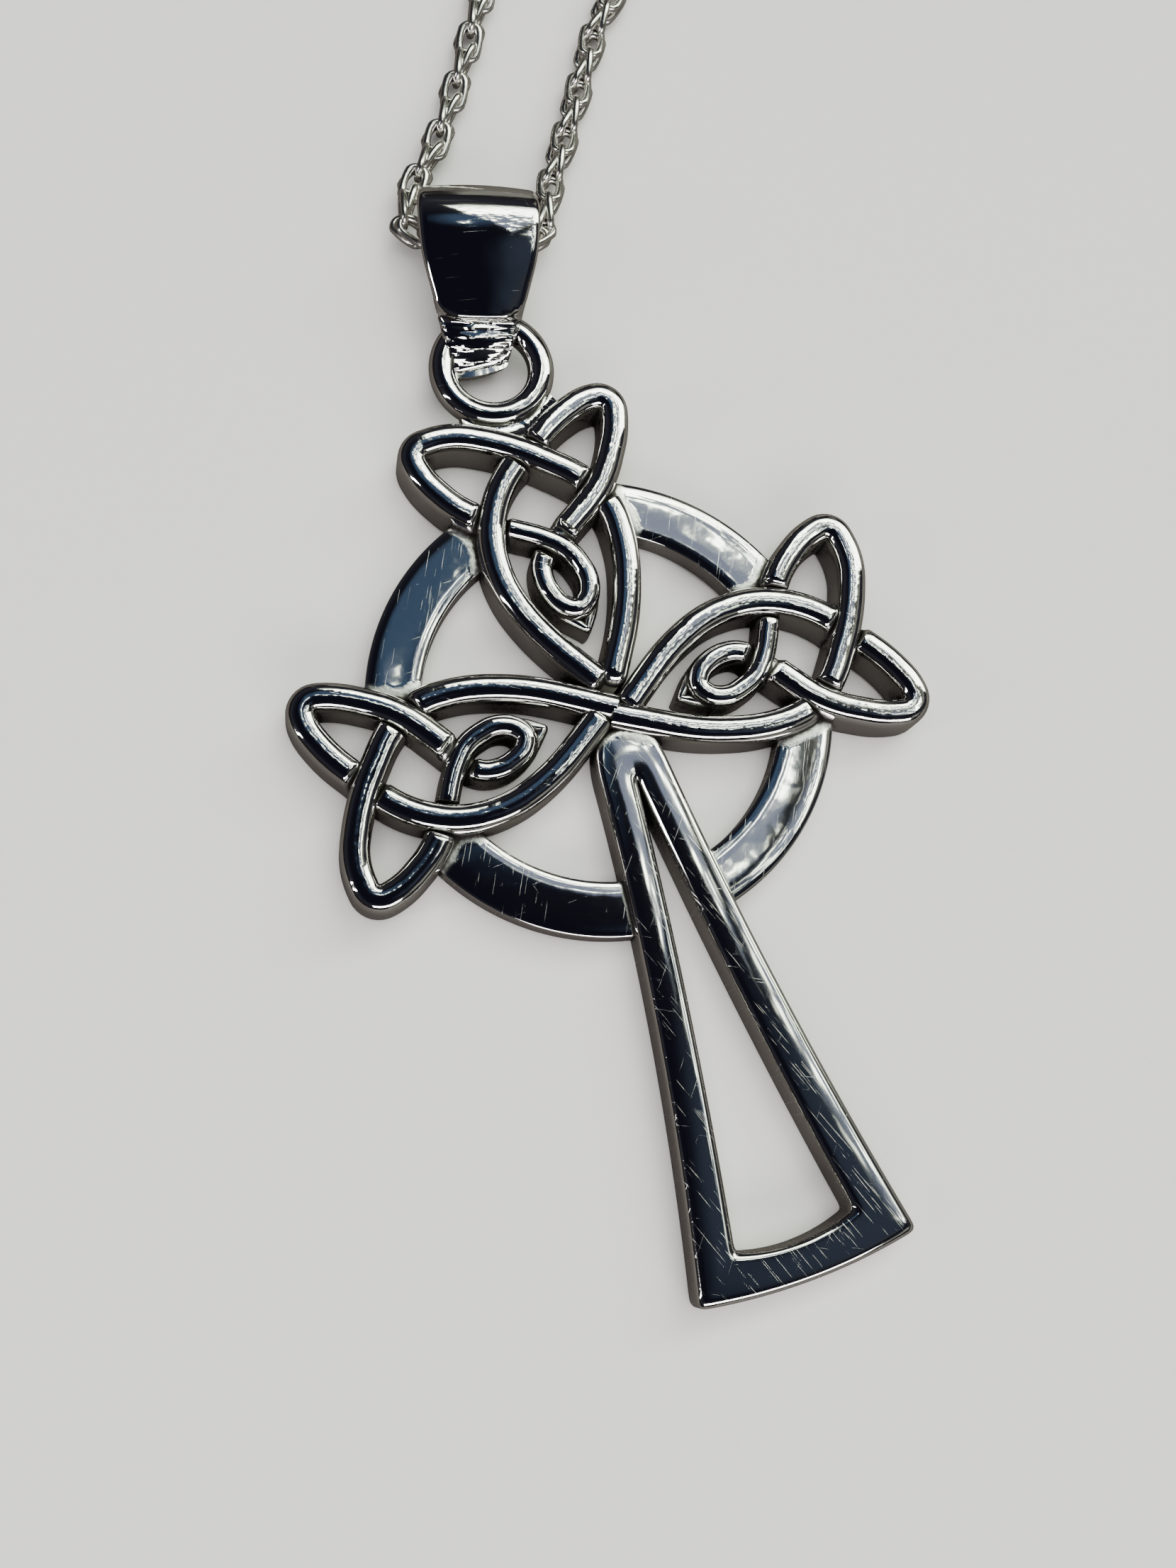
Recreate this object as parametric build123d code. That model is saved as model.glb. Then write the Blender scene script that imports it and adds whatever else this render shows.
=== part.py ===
from build123d import *
import math
import os

# Celtic cross pendant on its chain, lying on its back.
# +Z points up out of the front of the cross and +Y runs from the cross's foot to its bail.
# The origin is on the flat back, under the point where the arms cross.
# All lengths are in millimetres and all angles in degrees.

# Cast cross: reach of the knots and the heights of its levels
arm_reach = 13.1
arm_half_spread = 5.15
strand_width = 1.15
strand_edge = 2.06
strand_rise = 0.44
loop_width = 0.86
loop_edge = 1.80
loop_rise = 0.36
under_drop = 0.42
under_trim = 0.10
under_reach = 0.95
bar_overrun = 1.5

# Ring of the cross
ring_radius = 9.0
ring_width = 2.4
ring_edge = 1.35
ring_rise = 0.22
ring_shift_x = -0.2
ring_shift_y = 0.3
ring_end_turn = 2.6

# Shaft: an open tapered frame
shaft_top = -0.9
shaft_shoulder = -2.6
shaft_foot = -24.7
shaft_foot_bow = 0.45
shaft_top_half = 1.55
shaft_waist = -13.6
shaft_waist_half = 2.72
shaft_foot_half = 4.82
shaft_bar = 1.52
shaft_foot_bar = 1.68
shaft_edge = 1.72
shaft_rise = 0.46
shaft_inset = 0.03

# Jump ring, soldered to the top of the upper arm
jump_ring_wire = 1.05
jump_ring_radius = 2.26
jump_ring_height = 1.42
jump_ring_place = (0.0, 16.35)
solder_low = 0.7
solder_high = 1.7
solder_left_angle = 48.0
solder_right_angle = 35.0
solder_left_reach = 2.7
solder_right_reach = 1.7

# Bail, a folded strap that tapers down to the jump ring and is narrower at the back
bail_length = 8.6
bail_height = 4.3
bail_wall = 0.6
bail_wide = 5.3
bail_side_slope = 6.5
bail_tip_radius = 0.72
bail_tip_height = 1.30
bail_lean = 16.0
bail_tip_place = (-0.57, 16.24)
bail_eye_radius = 0.70
bail_eye_at = 1.75
bail_ring_clearance = 0.1
bail_steps = 3
bail_step_pitch = 0.66
bail_step_width = 0.18
bail_step_depth = 0.16

# Chain, doubled through the bail, and its clasp
chain_diameter = 1.35
chain_heading = 56.3
chain_in_bail = 6.4
chain_in_bail_lift = 0.74
chain_fold_across = 3.1
chain_fold_radius = 1.3
clasp_along = 181.3
clasp_length = 8.6
clasp_width = 3.8
clasp_wall = 1.0
clasp_height = 1.4
clasp_soft_edge = 0.3
clasp_clearance = 0.1

# The strand of one arm as the corners of smooth runs, seen looking outwards from the centre.
# Columns: across as a share of arm_half_spread, out as a share of arm_reach.
RIGHT_SIDE_TO_LEFT_LOBE = [
    (0.0, 0.0),
    (0.38, 0.26),
    (0.53, 0.46),
    (0.53, 0.63),
    (0.345, 0.75),
    (-0.145, 0.903),
    (-0.61, 0.985),
    (-1.0, 0.968),
]
LEFT_LOBE_TO_LOOP = [
    (-1.0, 0.968),
    (-0.944, 0.853),
    (-0.70, 0.706),
    (0.175, 0.511),
    (0.184, 0.386),
    (0.0, 0.279),
]
LOOP_TO_RIGHT_LOBE = [
    (0.0, 0.279),
    (-0.217, 0.376),
    (-0.223, 0.489),
    (0.505, 0.695),
    (0.769, 0.879),
    (0.831, 1.0),
]
RIGHT_LOBE_TO_LEFT_SIDE = [
    (0.831, 1.0),
    (0.588, 1.008),
    (0.291, 0.959),
    (-0.33, 0.784),
    (-0.557, 0.609),
    (-0.557, 0.427),
    (-0.379, 0.256),
    (0.058, 0.011),
]

# The three arms of the hand-finished casting differ a little. The strands of the right and
# the left one run into each other through the centre, and that of the top one stops there.
# Columns: name, turn from the top arm, lean, growth, slip outwards, slip to the right,
# start of the strand. The last three are shares of strand_width.
ARMS = [
    ("top", 0.0, -1.7, 1.022, 0.26, -0.05, 0.9),
    ("right", -90.0, 2.35, 0.996, -0.10, 0.33, 0.0),
    ("left", 90.0, -0.15, 0.984, -0.10, -0.18, 0.0),
]

# Outline of the bail at its front. Columns: width as a share of bail_wide, distance from the
# tip as a share of bail_length. The first and last rows lie just outside the strap.
BAIL_OUTLINE = [
    (0.40, -0.05),
    (0.66, 0.27),
    (0.94, 0.53),
    (1.0, 0.78),
    (1.0, 0.90),
    (0.87, 1.02),
]

# Route of the chain, chosen by hand, in the direction in which its two sides leave the bail.
# Columns: along, aside to the left, lift of the chain above the surface.
CHAIN_LEFT_SIDE = [
    (179.5, 24.0, 0.0),
    (162.0, 44.0, 0.0),
    (128.0, 53.0, 0.0),
    (90.0, 49.0, 0.0),
    (56.0, 30.0, 0.0),
    (31.5, 10.6, 0.0),
    (16.9, 3.5, 0.0),
    (9.1, 3.12, 0.0),
    (5.62, 3.11, 0.08),
    (3.59, 3.24, 0.28),
    (1.36, 3.65, 0.56),
]
CHAIN_RIGHT_SIDE = [
    (3.5, -2.42, 0.46),
    (8.0, -2.45, 0.0),
    (16.6, -2.2, 0.0),
    (31.0, -9.4, 0.0),
    (55.5, -29.0, 0.0),
    (90.0, -48.6, 0.0),
    (128.0, -53.0, 0.0),
    (162.0, -44.0, 0.0),
    (179.5, -24.0, 0.0),
]

chain_radius = chain_diameter / 2
up = Vector(0, 0, 1)


def largest_radii(points, share):
    """Radius of the largest tangent arc that each inner point of a route allows."""
    radii = []
    for before, point, after in zip(points, points[1:], points[2:]):
        run_in = point - before
        run_out = after - point
        half_turn = math.radians(run_in.get_angle(run_out) / 2)
        radii.append(share * min(run_in.length, run_out.length) / math.tan(half_turn))
    return radii


def smooth_path(points, share=0.48):
    """Straight runs joined by tangent arcs, as one wire."""
    line = FilletPolyline(*points, radius=largest_radii(points, share))
    return Wire(line.edges())


def domed_section(width, edge, rise):
    """Section of a cast bar: a flat bottom, straight walls and a round top."""
    half = width / 2
    walls = Polyline((-half, edge), (-half, 0), (half, 0), (half, edge))
    dome = ThreePointArc((half, edge), (0, edge + rise), (-half, edge))
    return make_face(walls.edges() + dome.edges())


def half_section(width, edge, rise):
    """Left half of the same section, for a round end."""
    half = width / 2
    radius = (half**2 + rise**2) / (2 * rise)
    angle = math.asin(half / radius) / 2
    middle = (radius * math.sin(angle), edge + rise - radius + radius * math.cos(angle))
    walls = Polyline((0, edge + rise), (0, 0), (half, 0), (half, edge))
    dome = ThreePointArc((half, edge), middle, (0, edge + rise))
    return make_face(walls.edges() + dome.edges())


def upright_plane(point, tangent):
    """Plane across a path, with its x axis to the left and its y axis up."""
    return Plane(origin=point, x_dir=up.cross(tangent), z_dir=tangent)


def bar_along(path, width, edge, rise):
    """A cast bar along a flat path."""
    section = upright_plane(path @ 0, path % 0) * domed_section(width, edge, rise)
    return sweep(section, path=path).solid()


def round_end(point, tangent, width, edge, rise, forward=True):
    """Half-round end of a bar, beyond the path's end or before its start."""
    section = upright_plane(point, tangent) * half_section(width, edge, rise)
    axis = Axis(point, -up if forward else up)
    return revolve(section, axis, 180).solid()


def crossing(path_a, path_b, start_a=0.0):
    """Lengths along two paths at which they cross, after a share of the first."""
    steps = 80
    points_b = [path_b @ (i / steps) for i in range(steps + 1)]
    best = None
    for i in range(steps + 1):
        share = start_a + (1 - start_a) * i / steps
        point = path_a @ share
        for j, other in enumerate(points_b):
            gap = (point - other).length
            if best is None or gap < best[0]:
                best = (gap, share, j / steps)
    return best[1] * path_a.length, best[2] * path_b.length


def stretch(path, start, end):
    """Part of a path, from one length along it to another."""
    return path.trim(start / path.length, end / path.length)


def point_along(path, length):
    return path @ (length / path.length)


class Arm:
    """The strand of one knotwork arm, in four paths placed on the cross."""

    def __init__(self, turn, lean, growth, slip_out, slip_right, start):
        self.turn = turn
        self.lean = lean
        self.growth = growth
        self.slip = Vector(slip_right, slip_out, 0) * strand_width
        self.start = start * strand_width
        self.to_left_lobe = self.path(RIGHT_SIDE_TO_LEFT_LOBE)
        self.to_loop = self.path(LEFT_LOBE_TO_LOOP)
        self.to_right_lobe = self.path(LOOP_TO_RIGHT_LOBE)
        self.to_left_side = self.path(RIGHT_LOBE_TO_LEFT_SIDE)
        self.under_right_lobe, _ = crossing(self.to_left_lobe, self.to_right_lobe)
        self.under_left_side, _ = crossing(self.to_loop, self.to_left_side)
        self.under_loop, _ = crossing(self.to_right_lobe, self.to_loop, 0.2)
        self.under_left_lobe, self.over_left_side = crossing(self.to_left_side, self.to_left_lobe)

    def path(self, table):
        """Smooth path through the corners of a table, in the cross's own frame."""
        placed = []
        for across, out in table:
            point = Vector(across * arm_half_spread, out * arm_reach, 0) * self.growth
            point = point.rotate(Axis.Z, self.lean) + self.slip
            placed.append(point.rotate(Axis.Z, self.turn))
        return smooth_path(placed)

    def left_knee(self):
        """Where the ring meets the left side of the arm."""
        return point_along(self.to_loop, self.under_left_side)

    def right_knee(self):
        """Where the ring meets the right side of the arm."""
        return point_along(self.to_left_lobe, self.under_right_lobe)

    def solids(self):
        """Stretches of strand that pass over, and the short lower ones that pass under."""
        strand = (strand_width, strand_edge, strand_rise)
        loop = (loop_width, loop_edge, loop_rise)
        low_strand = (strand_width - under_trim, strand_edge - under_drop, strand_rise)
        low_loop = (loop_width - under_trim, loop_edge - under_drop, loop_rise)
        reach = strand_width * under_reach
        loop_reach = loop_width * under_reach
        pieces = []

        def over(path, start, end, size, start_round=True):
            piece = stretch(path, start, end)
            pieces.append(bar_along(piece, *size))
            pieces.append(round_end(piece @ 1, piece % 1, *size))
            if start_round:
                pieces.append(round_end(piece @ 0, piece % 0, *size, forward=False))

        def under(path, at, size, room):
            start = at - room - size[0] / 2
            end = min(at + room + size[0] / 2, path.length)
            pieces.append(bar_along(stretch(path, start, end), *size))

        path, at = self.to_left_lobe, self.under_right_lobe
        over(path, self.start, at - reach, strand, start_round=self.start > 0)
        over(path, at + reach, path.length, strand)
        under(path, at, low_strand, reach)

        path, at = self.to_loop, self.under_left_side
        over(path, 0, at - reach, strand, start_round=False)
        over(path, at + reach, path.length, loop)
        under(path, at, low_loop, reach)

        path, at = self.to_right_lobe, self.under_loop
        over(path, 0, at - loop_reach, loop, start_round=False)
        over(path, at + loop_reach, path.length, strand)
        under(path, at, low_loop, loop_reach)

        path, at = self.to_left_side, self.under_left_lobe
        over(path, 0, at - reach, strand, start_round=False)
        over(path, at + reach, path.length - reach, strand)
        under(path, at, low_strand, reach)
        under(path, path.length, low_strand, reach)
        return pieces


def side_line(line, distance):
    """The curve at an even distance to the left of an arc."""
    points = []
    for share in (0, 0.5, 1):
        points.append((line @ share) + up.cross(line % share) * distance)
    return ThreePointArc(*points)


def lengthened(line, more):
    """A curve with a straight run added to each end."""
    start = Line((line @ 0) - (line % 0) * more, line @ 0)
    end = Line(line @ 1, (line @ 1) + (line % 1) * more)
    return Wire(start.edges() + line.edges() + end.edges())


def shaft_sides():
    """Outer sides and foot line of the shaft."""
    corner = (shaft_foot_half, shaft_foot)
    waist = (shaft_waist_half, shaft_waist)
    shoulder = (shaft_top_half, shaft_shoulder)
    right = ThreePointArc(corner, waist, shoulder)
    left = ThreePointArc((-shoulder[0], shoulder[1]), (-waist[0], waist[1]), (-corner[0], corner[1]))
    foot = ThreePointArc(left @ 1, (0, shaft_foot - shaft_foot_bow), corner)
    return right, left, foot


def shaft_leg_path():
    """Centre line of the right leg, longer than the leg at both ends."""
    right, _, _ = shaft_sides()
    return lengthened(side_line(right, shaft_bar / 2), bar_overrun)


def region(line, *corners):
    """Tall block on one side of a line, for cutting."""
    outline = Polyline(line @ 1, *corners, line @ 0)
    return extrude(make_face(line.edges() + outline.edges()), 3 * shaft_edge)


def shaft():
    """The open frame below the arms: two flaring legs on a bowed foot."""
    right, left, foot = shaft_sides()
    top_half, top = shaft_top_half, shaft_shoulder
    wide = 3 * shaft_foot_half
    low = shaft_foot - wide
    roof = Polyline((-top_half, top), (0, shaft_top), (top_half, top))
    above = region(roof, (wide, top), (wide, wide), (-wide, wide), (-wide, top))
    foot_sides = ((wide, shaft_foot), (wide, low), (-wide, low), (-wide, shaft_foot))
    below = region(side_line(foot, shaft_inset), *foot_sides)
    leg = bar_along(shaft_leg_path(), shaft_bar, shaft_edge, shaft_rise) - above - below
    foot_path = lengthened(side_line(foot, shaft_foot_bar / 2), bar_overrun)
    foot_bar = bar_along(foot_path, shaft_foot_bar, shaft_edge, shaft_rise)
    outside = region(side_line(right, shaft_inset), (wide, top), (wide, low))
    foot_bar = foot_bar - outside - mirror(outside, Plane.YZ)
    return leg.fuse(mirror(leg, Plane.YZ), foot_bar).solid()


def ring(arms):
    """Stretches of the flat ring, each from one strand to the next."""
    centre = Vector(ring_shift_x, ring_shift_y, 0)
    circle = Wire([CenterArc(centre, ring_radius, 270, 90).edge()])
    leg, _ = crossing(shaft_leg_path(), circle)
    leg_point = point_along(shaft_leg_path(), leg)

    def angle_of(point):
        arm = point - centre
        return math.degrees(math.atan2(arm.Y, arm.X)) % 360

    right_leg = angle_of(leg_point)
    left_leg = angle_of(Vector(-leg_point.X, leg_point.Y, 0))
    starts = [angle_of(arms[name].left_knee()) + ring_end_turn for name in ("right", "top", "left")]
    ends = [angle_of(arms[name].right_knee()) - ring_end_turn for name in ("top", "left", "right")]
    stretches = [(starts[0], ends[0]), (starts[1], ends[1])]
    stretches += [(starts[2], left_leg), (right_leg, ends[2])]
    solids = []
    for start, end in stretches:
        path = Wire([CenterArc(centre, ring_radius, start, end - start).edge()])
        solids.append(bar_along(path, ring_width, ring_edge, ring_rise))
    return solids


def jump_ring(top_arm):
    """The round wire ring on the upper arm, with the solder that holds it."""
    lobe_left = top_arm.to_left_lobe
    lobe_right = top_arm.to_left_side
    meeting = point_along(lobe_right, top_arm.under_left_lobe)
    corners = [
        point_along(lobe_left, top_arm.over_left_side + solder_left_reach),
        meeting,
        point_along(lobe_right, top_arm.under_left_lobe - solder_right_reach),
    ]
    for angle in (270 + solder_right_angle, 270, 270 - solder_left_angle):
        arm = Vector(jump_ring_radius, 0, 0).rotate(Axis.Z, angle)
        corners.append(Vector(*jump_ring_place, 0) + arm)
    solder = extrude(make_face(Polyline(*corners, close=True).edges()), solder_high - solder_low)
    return [jump_ring_wire_solid(), (Pos(0, 0, solder_low) * solder).solid()]


def cross():
    """The cast cross with its soldered jump ring, one solid."""
    arms = {name: Arm(*values) for name, *values in ARMS}
    solids = []
    for arm in arms.values():
        solids += arm.solids()
    solids += ring(arms)
    solids.append(shaft())
    solids += jump_ring(arms["top"])
    return solids[0].fuse(*solids[1:])


def jump_ring_wire_solid(clearance=0.0):
    """The round wire of the jump ring, thicker by a clearance."""
    centre = Vector(*jump_ring_place, jump_ring_height)
    return (Pos(centre) * Torus(jump_ring_radius, jump_ring_wire / 2 + clearance)).solid()


def bail():
    """The folded strap: a tapered tube, pinched to an eye, with steps across its tip."""
    tip = Pos(bail_tip_radius, bail_tip_height) * Circle(bail_tip_radius)
    eye_place = Pos(bail_eye_at, jump_ring_height)
    top_radius = bail_height / 2
    top_place = Pos(bail_length - top_radius, top_radius)
    eye_wall = eye_place * Circle(bail_eye_radius + bail_wall)
    top_wall = top_place * Circle(top_radius)
    outer = make_hull((tip + eye_wall + top_wall).edges())
    eye = eye_place * Circle(bail_eye_radius)
    hollow = make_hull(eye.edges() + (top_place * Circle(top_radius - bail_wall)).edges())
    skin = outer - offset(outer, -bail_step_depth)
    steps = Sketch()
    for step in range(bail_steps):
        at = bail_step_pitch * (step + 0.75)
        steps += Pos(at, jump_ring_height + bail_height / 2) * Rectangle(bail_step_width, bail_height)
    profile = outer - hollow - (skin & steps)
    strap = extrude(Plane.YZ * profile, bail_wide / 2, both=True)
    narrowing = bail_height * math.tan(math.radians(bail_side_slope))
    side = [(width * bail_wide / 2 - narrowing, along * bail_length) for width, along in BAIL_OUTLINE]
    other_side = [(-half, along) for half, along in reversed(side)]
    outline = make_face(Polyline(*side, *other_side, close=True).edges())
    body = strap & extrude(outline, bail_height, taper=-bail_side_slope)
    body = bail_place() * body
    return (body - jump_ring_wire_solid(bail_ring_clearance)).solid()


def bail_place():
    """Frame of the bail: its tip at the origin and +Y along it."""
    return Pos(*bail_tip_place) * Rot(0, 0, -bail_lean)


def chain_frame():
    """Frame of the chain: where it passes through the bail, with +X the way its sides leave."""
    middle = bail_place() * Pos(0, chain_in_bail, 0)
    return Pos(middle.position) * Rot(0, 0, chain_heading)


def chain_route():
    """Corner points of the chain's centre line, from one end of the clasp to the other."""
    frame = chain_frame()
    clasp_end = clasp_length / 2 + clasp_clearance

    def placed(rows):
        return [(frame * Pos(along, aside, chain_radius + lift)).position for along, aside, lift in rows]

    folds = []
    for side in (-1, 1):
        fold = Pos(side * chain_fold_across, chain_in_bail, chain_radius + chain_in_bail_lift)
        folds.append((bail_place() * fold).position)
    left = placed([(clasp_along, clasp_end, 0), *CHAIN_LEFT_SIDE])
    right = placed([*CHAIN_RIGHT_SIDE, (clasp_along, -clasp_end, 0)])
    return left, folds, right


def chain():
    """The chain as a plain tube along its route."""
    left, folds, right = chain_route()
    route = left + folds + right
    radii = largest_radii(route, 0.45)
    for fold in folds:
        radii[route.index(fold) - 1] = chain_fold_radius
    print("chain radii", [round(radius, 1) for radius in radii])
    path = Wire(FilletPolyline(*route, radius=radii).edges())
    section = upright_plane(path @ 0, path % 0) * Circle(chain_radius)
    tube = sweep(section, path=path).solid()
    print("chain length", round(path.length, 1))
    print("chain volume", round(tube.volume, 1), "and by length", round(section.area * path.length, 1))
    return tube


def clasp():
    """Plain oval ring that joins the ends of the chain."""
    oval = SlotOverall(clasp_length, clasp_width)
    oval -= SlotOverall(clasp_length - 2 * clasp_wall, clasp_width - 2 * clasp_wall)
    piece = extrude(oval, clasp_height)
    ends = piece.faces().filter_by(Axis.Z)
    piece = fillet(ends.edges(), clasp_soft_edge)
    return (chain_frame() * Pos(clasp_along, 0, 0) * Rot(0, 0, 90) * piece).solid()


os.makedirs("parts", exist_ok=True)
export_step(cross(), "parts/cross.step")
export_step(bail(), "parts/bail.step")
export_step(chain(), "parts/chain.step")
export_step(clasp(), "parts/clasp.step")
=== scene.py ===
from bisect import bisect_right
import math

import bmesh
import bpy
from bpy.props import FloatProperty, FloatVectorProperty, PointerProperty
from mathutils import Matrix, Vector
from mathutils.bvhtree import BVHTree


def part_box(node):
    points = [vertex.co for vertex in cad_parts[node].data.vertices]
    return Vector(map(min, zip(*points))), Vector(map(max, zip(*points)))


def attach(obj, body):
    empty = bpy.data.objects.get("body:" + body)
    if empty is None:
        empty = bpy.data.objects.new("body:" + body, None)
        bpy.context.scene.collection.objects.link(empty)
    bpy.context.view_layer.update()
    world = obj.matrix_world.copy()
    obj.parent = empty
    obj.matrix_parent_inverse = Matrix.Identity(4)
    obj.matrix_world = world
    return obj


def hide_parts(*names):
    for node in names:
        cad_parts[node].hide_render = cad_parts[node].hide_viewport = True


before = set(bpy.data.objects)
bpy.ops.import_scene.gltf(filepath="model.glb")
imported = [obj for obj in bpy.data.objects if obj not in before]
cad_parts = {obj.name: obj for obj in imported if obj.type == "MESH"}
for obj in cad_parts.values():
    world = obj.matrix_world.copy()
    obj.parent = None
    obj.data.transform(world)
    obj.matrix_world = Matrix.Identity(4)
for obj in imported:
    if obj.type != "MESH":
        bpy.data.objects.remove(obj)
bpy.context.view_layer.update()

bl_info = {
    "name": "Celtic cross pendant",
    "version": (1, 0, 0),
    "blender": (4, 5, 0),
    "location": "3D View > Sidebar > Pendant",
    "description": "Knotwork cross on a folded bail and a fine rope chain, in polished silver",
    "category": "Object",
}

MM = 0.001
UP = Vector((0, 0, 1))
# Points nearer than the first become one, and edges shorter than the second go.
WELD = 0.0005 * MM
SLIVER = 0.0002 * MM
BODY = "root"
_, CROSS_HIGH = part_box("cross")
_, BAIL_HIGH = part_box("bail")

# The strand of one arm as the corners of smooth runs, seen looking outwards from the centre.
# Columns: across as a share of the arm's half spread, out as a share of its reach.
RIGHT_SIDE_TO_LEFT_LOBE = [
    (0.0, 0.0),
    (0.38, 0.26),
    (0.53, 0.46),
    (0.53, 0.63),
    (0.345, 0.75),
    (-0.145, 0.903),
    (-0.61, 0.985),
    (-1.0, 0.968),
]
LEFT_LOBE_TO_LOOP = [
    (-1.0, 0.968),
    (-0.944, 0.853),
    (-0.70, 0.706),
    (-0.10, 0.580),
    (0.09, 0.515),
    (0.17, 0.41),
    (0.12, 0.345),
    (0.0, 0.312),
]
LOOP_TO_RIGHT_LOBE = [
    (0.0, 0.312),
    (-0.13, 0.340),
    (-0.215, 0.42),
    (-0.185, 0.505),
    (0.505, 0.695),
    (0.769, 0.879),
    (0.831, 1.0),
]
RIGHT_LOBE_TO_LEFT_SIDE = [
    (0.831, 1.0),
    (0.588, 1.008),
    (0.291, 0.959),
    (-0.33, 0.784),
    (-0.557, 0.609),
    (-0.557, 0.427),
    (-0.379, 0.256),
    (0.058, 0.011),
]

# Middle lines of the low leaf that ends in a point below the small loop, in the same columns.
LEAF_SIDES = (
    [(0.165, 0.40), (0.125, 0.32), (0.037, 0.25)],
    [(-0.21, 0.42), (-0.15, 0.33), (0.02, 0.252)],
)

# Length of the leaf's rounded point, its width there as a share of the widest, and how far its
# crown rises above its straight walls.
LEAF_POINT = 0.24 * MM
LEAF_TIP = 0.5
LEAF_RISE = 0.35 * MM

# Columns: name, turn from the top arm, lean, growth, slip outwards, slip to the right,
# start of the strand. The last three are shares of the strand's width.
ARMS = [
    ("top", 0.0, -1.7, 1.022, 0.26, -0.05, 0.9),
    ("right", -90.0, 2.35, 0.996, -0.10, 0.33, 0.0),
    ("left", 90.0, -0.15, 0.978, -0.10, -0.18, 0.0),
]

# Where the solder lies on the top arm's two lobes, in millimetres along the strands from the
# place where they cross, and the stretch of the jump ring that it holds, in degrees from +X.
SOLDER_ON_LEFT_LOBE = (2.7, 2.0, 1.3, 0.7)
SOLDER_ON_RIGHT_LOBE = (0.9, 1.6, 2.3, 2.9)
SOLDER_START = -150
SOLDER_END = -32

# Directions of the hairline scratches. Columns: turn in radians from the main direction, rarity.
SCRATCH_DIRECTIONS = [
    (0.0, 0.0),
    (1.05, 0.05),
    (-0.75, 0.06),
]
# Scratches in a metre along them, across them and through the metal, and their depth.
SCRATCH_STRETCH = (380.0, 30000.0, 400.0)
HAIRLINE_DEPTH = 0.0005 * MM

# Outline of the bail's front. Columns: width as a share of the widest, place as a share of
# the length from its tip.
BAIL_OUTLINE = [
    (0.44, -0.05),
    (0.71, 0.27),
    (0.95, 0.53),
    (1.0, 0.76),
    (0.99, 0.88),
    (0.95, 0.95),
    (0.85, 1.02),
]

# Soft spots of the surroundings, beside the bright quarter and in the dark. Columns: slope to
# the east, slope to the north, reach, radius of the core and, for the dark ones, colour.
BRIGHT_SPOTS = [
    (0.48, 0.0, 0.19, 0.1),
    (0.112, 0.25, 0.045, 0.02),
]
DARK_SPOTS = [
    (0.14, 0.33, 0.2, 0.05, (0.045, 0.075, 0.13)),
    (0.3, -0.12, 0.22, 0.04, (0.028, 0.036, 0.055)),
]
# Tones of the dark room. Columns: height from the horizon at 0 to overhead at 1, colour.
ROOM_TONES = [
    (0.0, (0.020, 0.018, 0.017)),
    (0.25, (0.014, 0.012, 0.013)),
    (0.6, (0.024, 0.025, 0.034)),
    (0.93, (0.006, 0.006, 0.011)),
]

SOFTBOX_DISTANCE = 0.9

# Directions that the photograph's right and top edges face, solved from points measured in it.
CAMERA_RIGHT = Vector((0.93604, -0.32014, 0.14613))
CAMERA_UP = Vector((0.28292, 0.93153, 0.22852))

# Route of the chain, in millimetres in the direction in which its two sides
# leave the bail. Columns: along, aside to the left, lift above the floor.
CHAIN_LEFT_SIDE = [
    (181.3, 4.4, 0.0),
    (179.5, 24.0, 0.0),
    (162.0, 44.0, 0.0),
    (128.0, 53.0, 0.0),
    (90.0, 49.0, 0.0),
    (56.0, 30.0, 0.0),
    (31.5, 10.6, 0.0),
    (16.9, 3.5, 0.0),
    (9.1, 3.12, 0.0),
    (5.62, 3.11, 0.08),
    (3.59, 3.24, 0.28),
    (1.36, 3.65, 0.56),
]
CHAIN_RIGHT_SIDE = [
    (3.5, -2.42, 0.46),
    (8.0, -2.45, 0.0),
    (16.6, -2.2, 0.0),
    (31.0, -9.4, 0.0),
    (55.5, -29.0, 0.0),
    (90.0, -48.6, 0.0),
    (128.0, -53.0, 0.0),
    (162.0, -44.0, 0.0),
    (179.5, -24.0, 0.0),
    (181.3, -4.4, 0.0),
]


def size(name, description, millimetres):
    """A length in the panel, given in millimetres and kept in metres."""
    return FloatProperty(
        name=name,
        description=description,
        default=millimetres * MM,
        unit="LENGTH",
        subtype="DISTANCE",
        precision=5,
    )


def spot(name, description, *millimetres):
    """A place in the panel, given in millimetres and kept in metres."""
    return FloatVectorProperty(
        name=name,
        description=description,
        default=[value * MM for value in millimetres],
        size=len(millimetres),
        unit="LENGTH",
    )


def colour(name, description, value):
    return FloatVectorProperty(
        name=name, description=description, default=value, subtype="COLOR", min=0.0, max=1.0
    )


def share(name, description, value):
    return FloatProperty(name=name, description=description, default=value, min=0.0, max=1.0)


def number(name, description, value):
    return FloatProperty(name=name, description=description, default=value)


def turn(name, description, degrees):
    return FloatProperty(
        name=name, description=description, default=math.radians(degrees), subtype="ANGLE"
    )


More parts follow.
